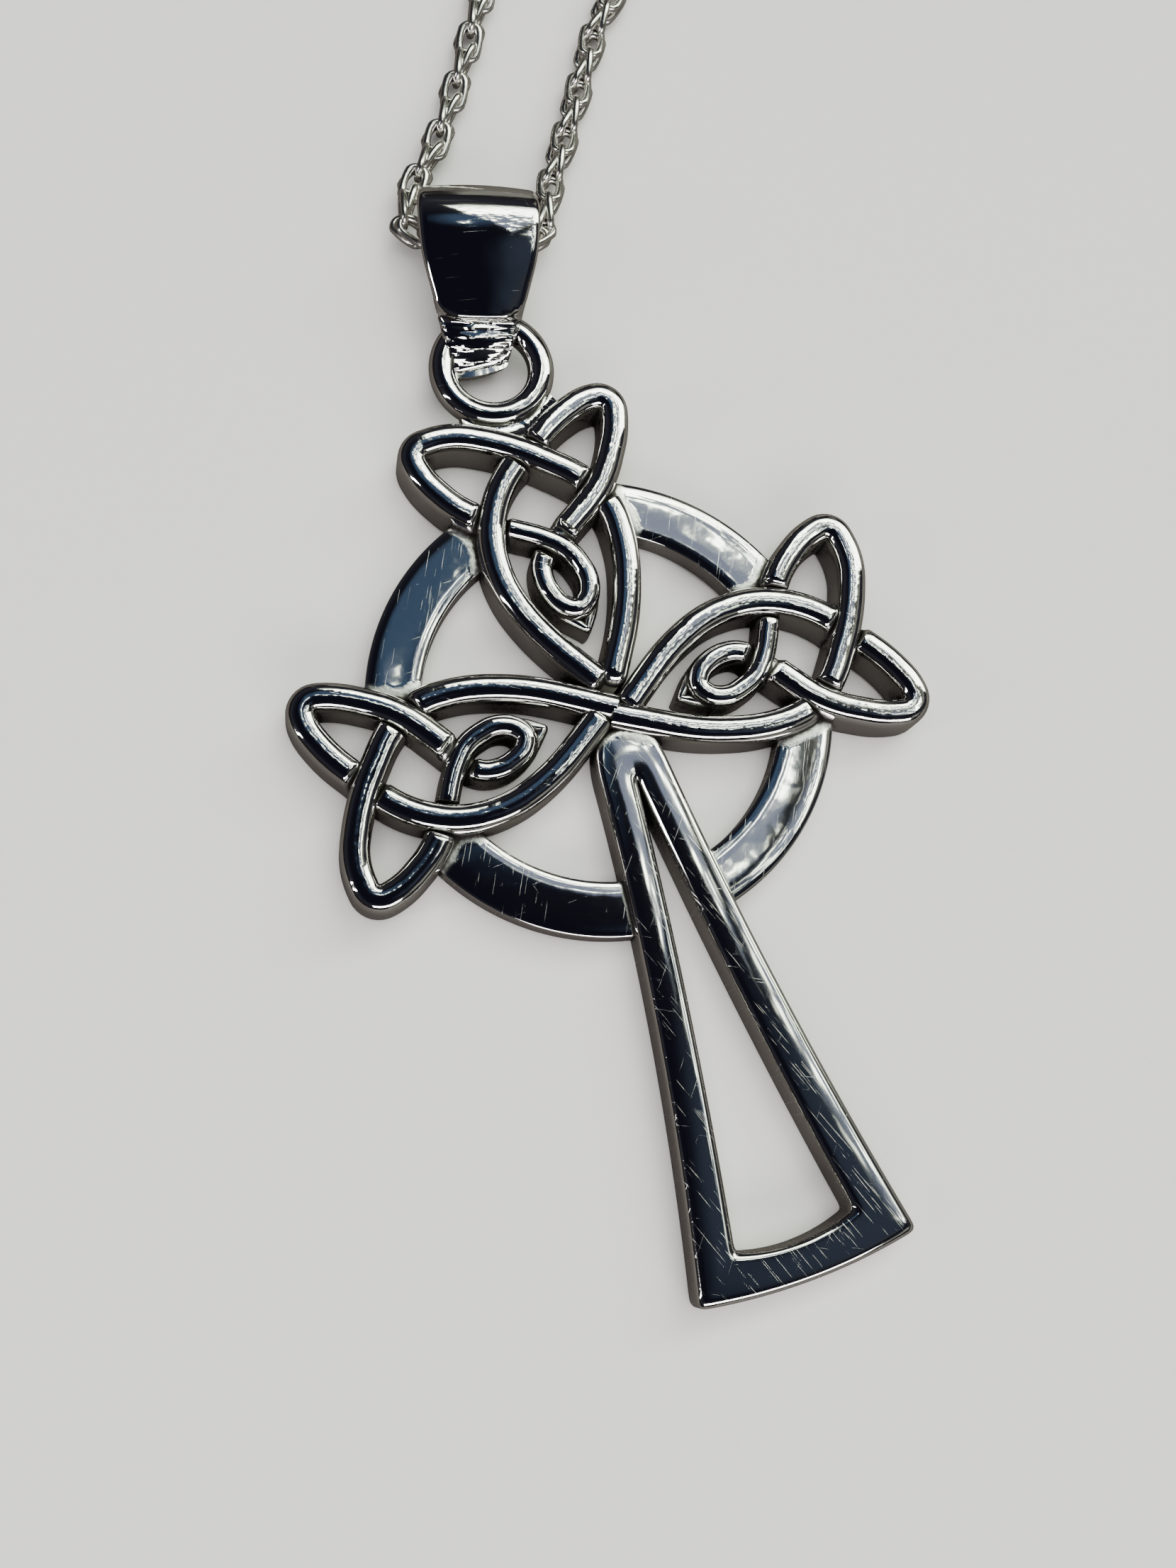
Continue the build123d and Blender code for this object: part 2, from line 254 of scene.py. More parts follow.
class CrossSizes(bpy.types.PropertyGroup):
    """Sizes of the cast cross"""

    arm_reach: size("Arm reach", "From the centre to the tips of the lobes", 13.1)
    arm_half_spread: size("Arm half spread", "From the arm's middle to its outer lobe", 5.15)
    strand_width: size("Strand width", "Width of the knotwork strand", 1.28)
    strand_shoulder: size("Strand shoulder", "Height where the round top starts", 1.78)
    strand_squareness: number("Strand squareness", "How flat the round top is, from 2", 2.85)
    strand_top: size("Strand top", "Height of the strand's crest", CROSS_HIGH.z / MM)
    loop_width: size("Loop width", "Width of the strand in the small loop", 1.02)
    loop_top: size("Loop top", "Height of the loop's crest", 2.16)
    under_drop: size("Under drop", "How much lower a strand is where it passes under", 0.5)
    under_slope: size("Under slope", "Length over which it dips", 0.3)
    lobe_turn: size("Lobe turn", "Radius at which a strand turns round the tip of a lobe", 0.70)
    loop_turn: size("Loop turn", "Radius at which the small loop turns", 0.5)
    leaf_width: size("Leaf width", "Width of the low leaf's two sides", 0.86)
    leaf_top: size("Leaf top", "Height of the low leaf below the small loop", 1.72)
    ring_radius: size("Ring radius", "Middle line of the flat ring", 9.0)
    ring_width: size("Ring width", "Width of the flat ring", 2.4)
    ring_shoulder: size("Ring shoulder", "Height where the ring's edge turns over", 1.37)
    ring_top: size("Ring top", "Height of the ring's face", 1.57)
    ring_shift: spot("Ring shift", "Middle of the ring from the middle of the cross", -0.2, 0.3)
    shaft_crown: size("Shaft crown", "Tip of the shaft between the arms", -0.9)
    shaft_shoulder: size("Shaft shoulder", "Place of the shaft's upper corners", -2.6)
    shaft_top_half: size("Shaft top half", "Half width at the upper corners", 1.55)
    shaft_waist: size("Shaft waist", "Place at which the waist is measured", -13.6)
    shaft_waist_half: size("Shaft waist half", "Half width at the waist", 2.72)
    shaft_foot: size("Shaft foot", "Place of the lower corners", -24.7)
    shaft_foot_half: size("Shaft foot half", "Half width at the lower corners", 4.82)
    shaft_lopsided: size("Shaft lopsidedness", "How much further the right leg flares", 0.17)
    hole_tip: size("Hole tip", "Upper end of the shaft's opening", -3.5)
    hole_waist: size("Hole waist", "Place at which the opening's waist is measured", -14.2)
    hole_waist_half: size("Hole waist half", "Half width of the opening there", 1.22)
    hole_foot_half: size("Hole foot half", "Half width of the opening at its foot", 2.6)
    shaft_foot_bow: size("Foot bow", "How far the foot bows out", 0.45)
    shaft_bar: size("Shaft leg width", "Width of each leg", 1.52)
    shaft_foot_bar: size("Shaft foot width", "Width of the foot", 1.68)
    shaft_edge: size("Shaft edge", "Height where the shoulders start", 1.79)
    shaft_rise: size("Shaft rise", "Height of the shoulders", 0.34)
    shaft_shoulder_width: size("Shoulder width", "Width of the rounded shoulders", 0.27)
    jump_ring_radius: size("Jump ring radius", "Middle line of the round wire ring", 2.22)
    jump_ring_wire: size("Jump ring wire", "Diameter of its wire", 1.18)
    jump_ring_squareness: number("Jump ring squareness", "How flat its wire is, from 2", 2.3)
    jump_ring_height: size("Jump ring height", "Height of its middle", 1.42)
    jump_ring_out: size("Jump ring place", "Its middle, above the centre of the cross", 16.35)
    solder_below_strand: size("Solder edge", "Its edge, below the crest of the strands", 0.42)
    solder_up_wire: size("Solder on wire", "Its edge, above the middle of the wire", 0.36)
    solder_sag: size("Solder sag", "Depth of its hollow at most", 0.34)
    solder_bottom: size("Solder bottom", "Height of its underside", 0.6)


class BailSizes(bpy.types.PropertyGroup):
    """Sizes of the folded bail"""

    length: size("Length", "From its tip to its top", 9.0)
    height: size("Height", "From back to front at its top", BAIL_HIGH.z / MM)
    wide: size("Width", "Widest part of its front", 5.5)
    wall: size("Wall", "Thickness of the strap", 0.6)
    tip_radius: size("Tip radius", "Roundness of the tip", 0.72)
    tip_slant: size("Tip slant", "How much lower the tip is at its left corner", 0.32)
    tip_height: size("Tip height", "Height of the tip's middle", 1.30)
    eye_radius: size("Eye radius", "Inside of the eye on the jump ring", 0.70)
    eye_at: size("Eye place", "Middle of the eye from the tip", 1.75)
    eye_height: size("Eye height", "Height of the eye's middle", 1.42)
    crown: size("Crown", "How far the front bulges", 0.16)
    soft_edge: size("Soft edge", "Roundness of the long edges", 0.2)
    plate_end: size("Plate end", "Where the plain front ends, from the tip", 2.1)
    plate_corner: size("Plate corner", "Roundness of its two lower corners", 0.9)
    plate_drop: size("Plate drop", "Step from the plain front to the ridges", 0.2)
    plate_step: size("Plate step run", "Length over which it steps down", 0.2)
    ridge_pitch: size("Ridge pitch", "Distance between the ridges", 0.44)
    ridge_depth: size("Ridge depth", "Depth of the grooves between them", 0.13)
    side_slope: turn("Side slope", "How its sides draw in towards the back", 11.0)
    lean: turn("Lean", "Turn of the bail on the jump ring", -16.0)
    tip_place: spot("Tip place", "Where the tip lies", -0.57, 16.24)


class ChainSizes(bpy.types.PropertyGroup):
    """Sizes of the neck chain and its clasp"""

    link_pitch: size("Link pitch", "Distance between pairs of links", 1.4)
    link_length: size("Link length", "Outside length of a link", 2.12)
    link_width: size("Link width", "Outside width of a link", 1.28)
    link_wire: size("Link wire", "Thickness of the wire", 0.36)
    pair_shift: size("Pair shift", "How far the two links of a pair lie apart lengthways", 0.2)
    link_skew: number("Link skew", "Turn of each link in its own plane, in radians", 0.12)
    link_tilt: number("Link tilt", "Lean of each link out of its plane, in radians", 0.16)
    lift: size("Lift", "Height of the chain's middle above the floor", 0.77)
    fold_across: size("Fold", "Where the chain turns, from the bail's middle line", 3.1)
    in_bail: size("Place in bail", "Where the chain passes through, from the bail's tip", 6.4)
    in_bail_lift: size("Lift in bail", "How far it is lifted there", 0.74)
    heading: turn("Heading", "The way in which its two sides leave the bail", 56.3)
    near: size("Fine links", "Distance from the bail to which the links are finer", 24.0)
    clasp_along: size("Clasp place", "Middle of the clasp, along the chain's heading", 181.3)
    clasp_length: size("Clasp length", "Outside length of the clasp", 8.6)
    clasp_width: size("Clasp width", "Outside width of the clasp", 3.8)
    clasp_wall: size("Clasp wall", "Width of its metal", 1.0)
    clasp_height: size("Clasp height", "Height of its metal", 1.4)
    clasp_soft_edge: size("Clasp soft edge", "Roundness of its edges", 0.3)


class SilverFinish(bpy.types.PropertyGroup):
    """Polish, scratches, patina and painted shade of the silver"""

    silver: colour("Silver", "Colour of the polished metal", (0.90, 0.895, 0.88))
    chain_silver: colour("Chain silver", "Colour of the chain", (0.90, 0.885, 0.85))
    # The patina colour also serves as painted shade in crevices and enclosed openings.
    patina_and_shade_colour: colour("Patina_and_shade", "Colour of the darkened crevices", (0.07, 0.065, 0.06))
    polish: share("Polish", "Roughness of the polished faces", 0.045)
    scratched: share("Scratched", "Roughness in a scratch", 0.32)
    ripple: size("Ripple", "Size of the ripples that hand polishing leaves", 0.55)
    ripple_height: size("Ripple height", "Height of the ripples", 0.011)


class StudioLook(bpy.types.PropertyGroup):
    """Floor, light and camera"""

    floor: colour("Floor", "Colour of the floor", (0.66, 0.65, 0.64))
    # The floor's colour in the metal's reflections, far darker than the floor itself: a painted
    # dark reflection.
    floor_in_metal: colour("Floor in metal", "Its colour as the metal mirrors it",
                           (0.05, 0.043, 0.04))
    backdrop: colour("Backdrop", "Colour behind the floor", (0.62, 0.62, 0.63))
    overhead: number("Overhead light", "Power of the soft light on the floor", 12.0)
    left_strip: number("Left strip", "Power of the thin light at the left", 1.6)
    front_strip: number("Front strip", "Power of the low light at the front", 6.0)
    window: number("Surroundings", "Strength of the surroundings", 1.0)
    shade: colour("Shade", "Colour of the bright quarter between its spots", (0.24, 0.275, 0.37))
    grey: colour("Grey patches", "Colour of the room's pale patches", (0.22, 0.22, 0.19))
    glare: FloatVectorProperty(
        name="Glare",
        description="Colour of the spots in the bright quarter",
        default=(9.0, 9.8, 8.0),
        size=3,
    )
    lens: number("Lens", "Focal length for a 36 mm long side", 2500 / 2212 * 36)
    camera_place: spot("Camera place", "Where the photograph was taken from",
                       -17.76, -15.91, 74.02)


# Lines

def way_to(angle):
    """The level direction at an angle from +X."""
    return Vector((math.cos(angle), math.sin(angle), 0))


class Line:
    """A smooth line that gives points and headings by the length along it."""

    def __init__(self, points):
        self.points = points
        self.marks = [0.0]
        for point, following in zip(points, points[1:]):
            self.marks.append(self.marks[-1] + (following - point).length)
        self.length = self.marks[-1]

    def at(self, length):
        index = min(max(bisect_right(self.marks, length) - 1, 0), len(self.points) - 2)
        run = self.marks[index + 1] - self.marks[index]
        part = (length - self.marks[index]) / run
        return self.points[index].lerp(self.points[index + 1], part)

    def heading(self, length):
        reach = 0.12 * MM
        start = max(length - reach, 0.0)
        end = min(length + reach, self.length)
        return (self.at(end) - self.at(start)).normalized()

    def turned(self):
        return Line(list(reversed(self.points)))


def rounded_line(corners, reach=0.48, steps=14):
    """Straight runs joined by arcs, which reach a share of the shorter run from each corner."""
    points = [corners[0]]
    for before, corner, after in zip(corners, corners[1:], corners[2:]):
        back = before - corner
        ahead = after - corner
        tangent = reach * min(back.length, ahead.length)
        start = corner + back.normalized() * tangent
        end = corner + ahead.normalized() * tangent
        weight = (start - end).length / 2 / tangent
        for step in range(steps + 1):
            t = step / steps
            parts = ((1 - t) ** 2, 2 * t * (1 - t) * weight, t**2)
            point = start * parts[0] + corner * parts[1] + end * parts[2]
            points.append(point / sum(parts))
    points.append(corners[-1])
    kept = [points[0]]
    for point in points[1:]:
        if (point - kept[-1]).length > 0.002 * MM:
            kept.append(point)
    return Line(kept)


def round_joints(lines, radii, start):
    """One line along several, round the corners at which they meet, and where on it each starts."""
    steps = 70
    points = []
    starts = []
    begin = start
    for index, line in enumerate(lines):
        end = line.length
        arc = []
        following = 0.0
        if index < len(radii):
            after = lines[index + 1]
            angle = line.heading(line.length).angle(after.heading(0))
            following = radii[index] * math.tan(angle / 2)
            end -= following
            turn_points = [line.at(end), line.at(line.length), after.at(following)]
            arc = rounded_line(turn_points, reach=1.0).points[1:-1]
        done = Line(points + [line.at(begin)]).length if points else 0.0
        starts.append(done - begin)
        points += [line.at(begin + (end - begin) * step / steps) for step in range(steps + 1)]
        points += arc
        begin = following
    return Line(points), starts


def crossing(line_a, line_b, start_a=0.0):
    """Lengths along two lines at which they cross, after a share of the first."""
    steps = 120
    points_b = [line_b.at(line_b.length * i / steps) for i in range(steps + 1)]
    best = None
    for i in range(steps + 1):
        length = line_a.length * (start_a + (1 - start_a) * i / steps)
        point = line_a.at(length)
        for j, other in enumerate(points_b):
            gap = (point - other).length
            if best is None or gap < best[0]:
                best = (gap, length, line_b.length * j / steps)
    return best[1], best[2]


def arc_line(start, middle, end, steps=48):
    """The circular arc through three points."""
    side_a = middle - start
    side_b = end - start
    cross_z = side_a.x * side_b.y - side_a.y * side_b.x
    square_a = side_a.length_squared
    square_b = side_b.length_squared
    centre = start + Vector((
        (side_b.y * square_a - side_a.y * square_b) / (2 * cross_z),
        (side_a.x * square_b - side_b.x * square_a) / (2 * cross_z),
        0,
    ))
    arm = start - centre
    sweep_angle = arm.xy.angle_signed((end - centre).xy)
    points = []
    for step in range(steps + 1):
        rotation = Matrix.Rotation(-sweep_angle * step / steps, 3, "Z")
        points.append(centre + rotation @ arm)
    return Line(points)


def ring_arc(centre, radius, start, end, steps=60):
    """An arc round a centre, between two angles in degrees from +X."""
    points = []
    for step in range(steps + 1):
        angle = math.radians(start + (end - start) * step / steps)
        points.append(centre + way_to(angle) * radius)
    return Line(points)


def side_line(line, distance, steps=48):
    """The line at an even distance to the left of another."""
    points = []
    for step in range(steps + 1):
        length = line.length * step / steps
        points.append(line.at(length) + UP.cross(line.heading(length)) * distance)
    return Line(points)


# Meshes

def mesh_of(bm, name):
    mesh = bpy.data.meshes.new(name)
    bm.to_mesh(mesh)
    bm.free()
    return mesh


def add_object(name, data):
    item = bpy.data.objects.new(name, data)
    bpy.context.scene.collection.objects.link(item)
    return item


def eased(value, low, high):
    """How far a value has come from one limit to the other, with a soft start and end."""
    part = min(max((value - low) / (high - low), 0.0), 1.0)
    return part * part * (3 - 2 * part)


def bar_profile(width, shoulder, top, squareness=2.0, dome=18):
    """Section of a cast bar: flat bottom with worn edges, straight walls and a round top.

    It can be narrowed, flattened and lowered.
    """
    half = width / 2

    def points(wide=1.0, rise=1.0, drop=0.0):
        section = []
        base = shoulder - drop
        for step in range(dome + 1):
            angle = math.pi * step / dome
            across = abs(math.cos(angle)) ** (2 / squareness) * math.copysign(1, math.cos(angle))
            up = abs(math.sin(angle)) ** (2 / squareness)
            section.append((-half * wide * across, base + (top - shoulder) * rise * up))
        low = [(0.78, 0.0), (0.93, 0.1), (1.0, 0.28), (1.0, 0.64)]
        section += [(half * wide * across, base * up) for across, up in reversed(low)]
        section += [(-half * wide * across, base * up) for across, up in low]
        return section

    return points


def bar_stations(line, spacing=0.13 * MM):
    """Even places along a line: point, heading, and how wide, high and low it is."""
    count = max(2, round(line.length / spacing))
    lengths = [line.length * i / count for i in range(count + 1)]
    return [(line.at(length), line.heading(length), 1.0, 1.0, 0.0) for length in lengths]


def round_off(stations, half, at_start, at_end, steps=7):
    """Adds the shrinking places of a round end before the first or after the last."""
    for wanted, index, way in ((at_end, -1, 1), (at_start, 0, -1)):
        if not wanted:
            continue
        point, heading, wide, rise, drop = stations[index]
        for step in range(1, steps + 1):
            angle = math.pi / 2 * step / steps
            scale = max(math.cos(angle), 0.0)
            place = point + heading * half * math.sin(angle) * way
            station = (place, heading, wide * scale, rise * scale, drop)
            stations.insert(len(stations) if way > 0 else 0, station)


def add_outline(bm, points):
    """Draws a closed line through points."""
    verts = [bm.verts.new(point) for point in points]
    return verts, [bm.edges.new(pair) for pair in zip(verts, verts[1:] + verts[:1])]


def add_loft(bm, rings):
    """Draws a closed loop through the first points and extrudes it to each of the others."""
    verts, edges = add_outline(bm, rings[0])
    ends = [edges]
    for ring in rings[1:]:
        made = bmesh.ops.extrude_edge_only(bm, edges=edges)["geom"]
        fresh = {item for item in made if isinstance(item, bmesh.types.BMVert)}
        verts = [
            next(e.other_vert(v) for e in v.link_edges if e.other_vert(v) in fresh) for v in verts
        ]
        edges = [
            item for item in made
            if isinstance(item, bmesh.types.BMEdge) and fresh.issuperset(item.verts)
        ]
        for vert, point in zip(verts, ring):
            vert.co = point
    ends.append(edges)
    return ends


def add_sweep(bm, profile, stations):
    """Extrudes a profile along its places, and closes the ends that haven't shrunk to a line."""
    rings = []
    for point, heading, wide, rise, drop in stations:
        left = UP.cross(heading).normalized()
        section = profile(wide, rise, drop)
        rings.append([point + left * aside + UP * height for aside, height in section])
    for rim, station in zip(add_loft(bm, rings), (stations[0], stations[-1])):
        if station[2] > 0.001:
            bmesh.ops.contextual_create(bm, geom=rim)


def add_leaf(bm, line, profile):
    """A bar that narrows more and more towards the end of a line, to a rounded point."""
    stations = bar_stations(line)
    last = len(stations) - 1
    for index, (point, heading, _, _, _) in enumerate(stations):
        wide = 1 - (1 - LEAF_TIP) * (index / last) ** 1.6
        stations[index] = (point, heading, wide, 1.0, 0.0)
    round_off(stations, LEAF_POINT, at_start=False, at_end=True)
    add_sweep(bm, profile, stations)


def spin_round(bm, verts, steps, centre=Vector()):
    """Turns a section once round an upright axis."""
    edges = {edge for vert in verts for edge in vert.link_edges}
    bmesh.ops.spin(bm, geom=list(verts) + list(edges), cent=centre, axis=UP, angle=math.tau,
                   steps=steps, use_merge=True)


def draw_out(bm, axis, half_run, soft):
    """Moves the two halves of a ring apart along one axis, and what lies between them less."""
    for vert in bm.verts:
        vert.co[axis] += half_run * max(-1.0, min(1.0, vert.co[axis] / soft))


def finish_piece(bm, name, material, node, sharp=50):
    """Makes the object of a piece, smooth but for its sharp edges, and puts it on its body."""
    bmesh.ops.remove_doubles(bm, verts=bm.verts, dist=WELD)
    bmesh.ops.dissolve_degenerate(bm, edges=bm.edges, dist=SLIVER)
    bmesh.ops.recalc_face_normals(bm, faces=bm.faces)
    limit = math.radians(sharp)
    for face in bm.faces:
        face.smooth = True
    for edge in bm.edges:
        edge.smooth = len(edge.link_faces) == 2 and edge.calc_face_angle() < limit
    piece = add_object(name, mesh_of(bm, name))
    piece.data.materials.append(material)
    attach(piece, BODY)
    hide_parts(node)
    return piece


def tree_of(objects):
    """One search tree over the meshes of several objects."""
    verts = []
    faces = []
    for obj in objects:
        start = len(verts)
        verts += [v.co.copy() for v in obj.data.vertices]
        faces += [[start + i for i in p.vertices] for p in obj.data.polygons]
    return BVHTree.FromPolygons(verts, faces)


def ray_fan(count=20):
    """Even directions over the half sphere round +Z."""
    golden = math.pi * (3 - math.sqrt(5))
    fan = []
    for i in range(count):
        height = (i + 0.5) / count
        reach = math.sqrt(1 - height * height)
        fan.append(Vector((reach * math.cos(golden * i), reach * math.sin(golden * i), height)))
    return fan


def mark_patina_and_shade(objects, reach=2.0 * MM):
    """Stores on each point how much of the open space round it other metal takes up, for the patina
    and the painted shade in crevices and openings.
    """
    tree = tree_of(objects)
    fan = ray_fan()
    stand_off = 0.012 * MM
    for obj in objects:
        mesh = obj.data
        mask = mesh.attributes.new("patina_and_shade_mask", "FLOAT", "POINT")
        for vert in mesh.vertices:
            normal = vert.normal
            turn_to = UP.rotation_difference(normal)
            origin = vert.co + normal * stand_off
            taken = 0.0
            for ray in fan:
                distance = tree.ray_cast(origin, turn_to @ ray, reach)[3]
                if distance is not None:
                    taken += 1 - distance / reach
            mask.data[vert.index].value = taken / len(fan)


def mark_skin(objects, others, reach):
    """Stores on each point how near it is to other metal, for the unpolished casting skin."""
    tree = tree_of(others)
    for obj in objects:
        mesh = obj.data
        mask = mesh.attributes.new("skin", "FLOAT", "POINT")
        for vert in mesh.vertices:
            distance = tree.find_nearest(vert.co)[3]
            mask.data[vert.index].value = max(0.0, 1 - distance / reach)


# Materials

def add_node(tree, kind, inputs=None, **settings):
    """Adds a node, sets its own settings, and links or sets its inputs."""
    node = tree.nodes.new(kind)
    for key, value in settings.items():
        setattr(node, key, value)
    for key, value in (inputs or {}).items():
        if isinstance(value, bpy.types.NodeSocket):
            tree.links.new(value, node.inputs[key])
        else:
            node.inputs[key].default_value = value
    return node


def remap(tree, value, low, high, new_low=0.0, new_high=1.0):
    """The value, taken from one range to another and held in it."""
    node = add_node(
        tree, "ShaderNodeMapRange",
        {"Value": value, "From Min": low, "From Max": high, "To Min": new_low, "To Max": new_high},
        interpolation_type="SMOOTHSTEP",
    )
    return node.outputs["Result"]


def maths(tree, operation, a, b=0.0):
    node = add_node(tree, "ShaderNodeMath", {0: a, 1: b}, operation=operation)
    return node.outputs[0]


def vector_maths(tree, operation, a, b):
    node = add_node(tree, "ShaderNodeVectorMath", {0: a, 1: b}, operation=operation)
    return node.outputs["Value" if operation == "DISTANCE" else "Vector"]


def noise(tree, place, scale=1.0, detail=1.0, roughness=0.5):
    inputs = {"Vector": place, "Scale": scale, "Detail": detail, "Roughness": roughness}
    return add_node(tree, "ShaderNodeTexNoise", inputs).outputs["Fac"]


def blend(tree, factor, first, second):
    """The mix of two colours, each given as a colour or as a socket."""
    first, second = (
        end if isinstance(end, bpy.types.NodeSocket) else (*end, 1) for end in (first, second)
    )
    inputs = {"Factor": factor, 6: first, 7: second}
    return add_node(tree, "ShaderNodeMix", inputs, data_type="RGBA").outputs[2]


def wear_group():
    """Hairline scratches in three directions, and the ripples of hand polishing."""
    name = "polish_wear"
    if name in bpy.data.node_groups:
        return bpy.data.node_groups[name]
    tree = bpy.data.node_groups.new(name, "ShaderNodeTree")
    given_values = {
        "Scratch Amount": 0.5,
        "Main Direction": 0.0,
        "Ripple Scale": 700.0,
    }
    for socket, default in given_values.items():
        entry = tree.interface.new_socket(socket, in_out="INPUT", socket_type="NodeSocketFloat")
        entry.default_value = default
    for socket in ("Scratches", "Ripples", "Grain"):
        tree.interface.new_socket(socket, in_out="OUTPUT", socket_type="NodeSocketFloat")
    given = add_node(tree, "NodeGroupInput").outputs
    coords = add_node(tree, "ShaderNodeTexCoord").outputs["Object"]
    amount = maths(tree, "MULTIPLY", given["Scratch Amount"], 0.3)
    marks = 0.0
    for index, (angle, rarity) in enumerate(SCRATCH_DIRECTIONS):
        direction = maths(tree, "ADD", given["Main Direction"], angle)
        turned = add_node(tree, "ShaderNodeVectorRotate", {"Vector": coords, "Angle": direction},
                          rotation_type="Z_AXIS").outputs[0]
        stretched = vector_maths(tree, "MULTIPLY", turned, SCRATCH_STRETCH)
        moved = vector_maths(tree, "ADD", stretched, (7.3 * index, 3.1 * index, 1.7 * index))
        low = maths(tree, "SUBTRACT", 0.82 + rarity, amount)
        line = add_node(tree, "ShaderNodeMapRange", {
            "Value": noise(tree, moved, detail=2.0, roughness=0.6),
            "From Min": low,
            "From Max": maths(tree, "ADD", low, 0.05),
        }).outputs[0]
        marks = maths(tree, "MAXIMUM", marks, line)
    scaled = add_node(tree, "ShaderNodeVectorMath", {0: coords, "Scale": given["Ripple Scale"]},
                      operation="SCALE").outputs[0]
    add_node(tree, "NodeGroupOutput", {
        "Scratches": marks,
        "Ripples": noise(tree, scaled, detail=1.5, roughness=0.45),
        "Grain": noise(tree, coords, scale=7000.0, detail=3.0, roughness=0.6),
    })
    return tree


def silver_material(name, finish, silver=None, scratches=0.5, direction=0.0, skin_depth=0.0,
                    ripple=None, ripple_height=None, fainter_patina_and_shade=0.0, polish=None):
    """Polished silver: ripples, hairlines, patina and painted shade in crevices and, near joints,
    the casting's skin.

    What isn't given for a piece comes from the finish. A higher setting for fainter patina and
    shade keeps crevices brighter.
    """
    material = bpy.data.materials.new(name)
    material.use_nodes = True
    tree = material.node_tree
    shader = tree.nodes["Principled BSDF"]
    shader.inputs["Metallic"].default_value = 1.0
    wear = add_node(tree, "ShaderNodeGroup", node_tree=wear_group())
    wear.inputs["Scratch Amount"].default_value = scratches
    wear.inputs["Main Direction"].default_value = direction
    wear.inputs["Ripple Scale"].default_value = 1 / (ripple or finish.ripple)
    marks, ripples, grain = (wear.outputs[key] for key in ("Scratches", "Ripples", "Grain"))

    # Patina and painted shade: the metal darkens to the patina colour where other metal closes in
    # round it.
    patina_and_shade_mask = add_node(tree, "ShaderNodeAttribute", attribute_name="patina_and_shade_mask").outputs["Fac"]
    hollow = maths(tree, "ADD", patina_and_shade_mask, maths(tree, "MULTIPLY", grain, 0.16))
    dark = remap(tree, hollow, 0.32 + fainter_patina_and_shade, 0.56 + fainter_patina_and_shade)
    metal = blend(tree, dark, silver or finish.silver, finish.patina_and_shade_colour)
    worn = remap(tree, marks, 0.0, 1.0, polish or finish.polish, finish.scratched)
    rough = maths(tree, "MAXIMUM", worn, maths(tree, "MULTIPLY", dark, 0.55))
    height = finish.ripple_height if ripple_height is None else ripple_height
    hairlines = maths(tree, "MULTIPLY", marks, -HAIRLINE_DEPTH)
    relief = maths(tree, "ADD", maths(tree, "MULTIPLY", ripples, height), hairlines)
    if skin_depth:
        skin = add_node(tree, "ShaderNodeAttribute", attribute_name="skin").outputs["Fac"]
        patchy = maths(tree, "ADD", skin, maths(tree, "MULTIPLY", ripples, 0.5))
        zone = remap(tree, patchy, 0.82, 1.1)
        rough = maths(tree, "MAXIMUM", rough, maths(tree, "MULTIPLY", zone, 0.3))
        pits = maths(tree, "MULTIPLY", maths(tree, "MULTIPLY", zone, grain), skin_depth)
        relief = maths(tree, "ADD", relief, pits)
    bump = add_node(tree, "ShaderNodeBump", {"Strength": 1.0, "Distance": 1.0, "Height": relief})
    tree.links.new(metal, shader.inputs["Base Color"])
    tree.links.new(rough, shader.inputs["Roughness"])
    tree.links.new(bump.outputs["Normal"], shader.inputs["Normal"])
    return material


# Cross

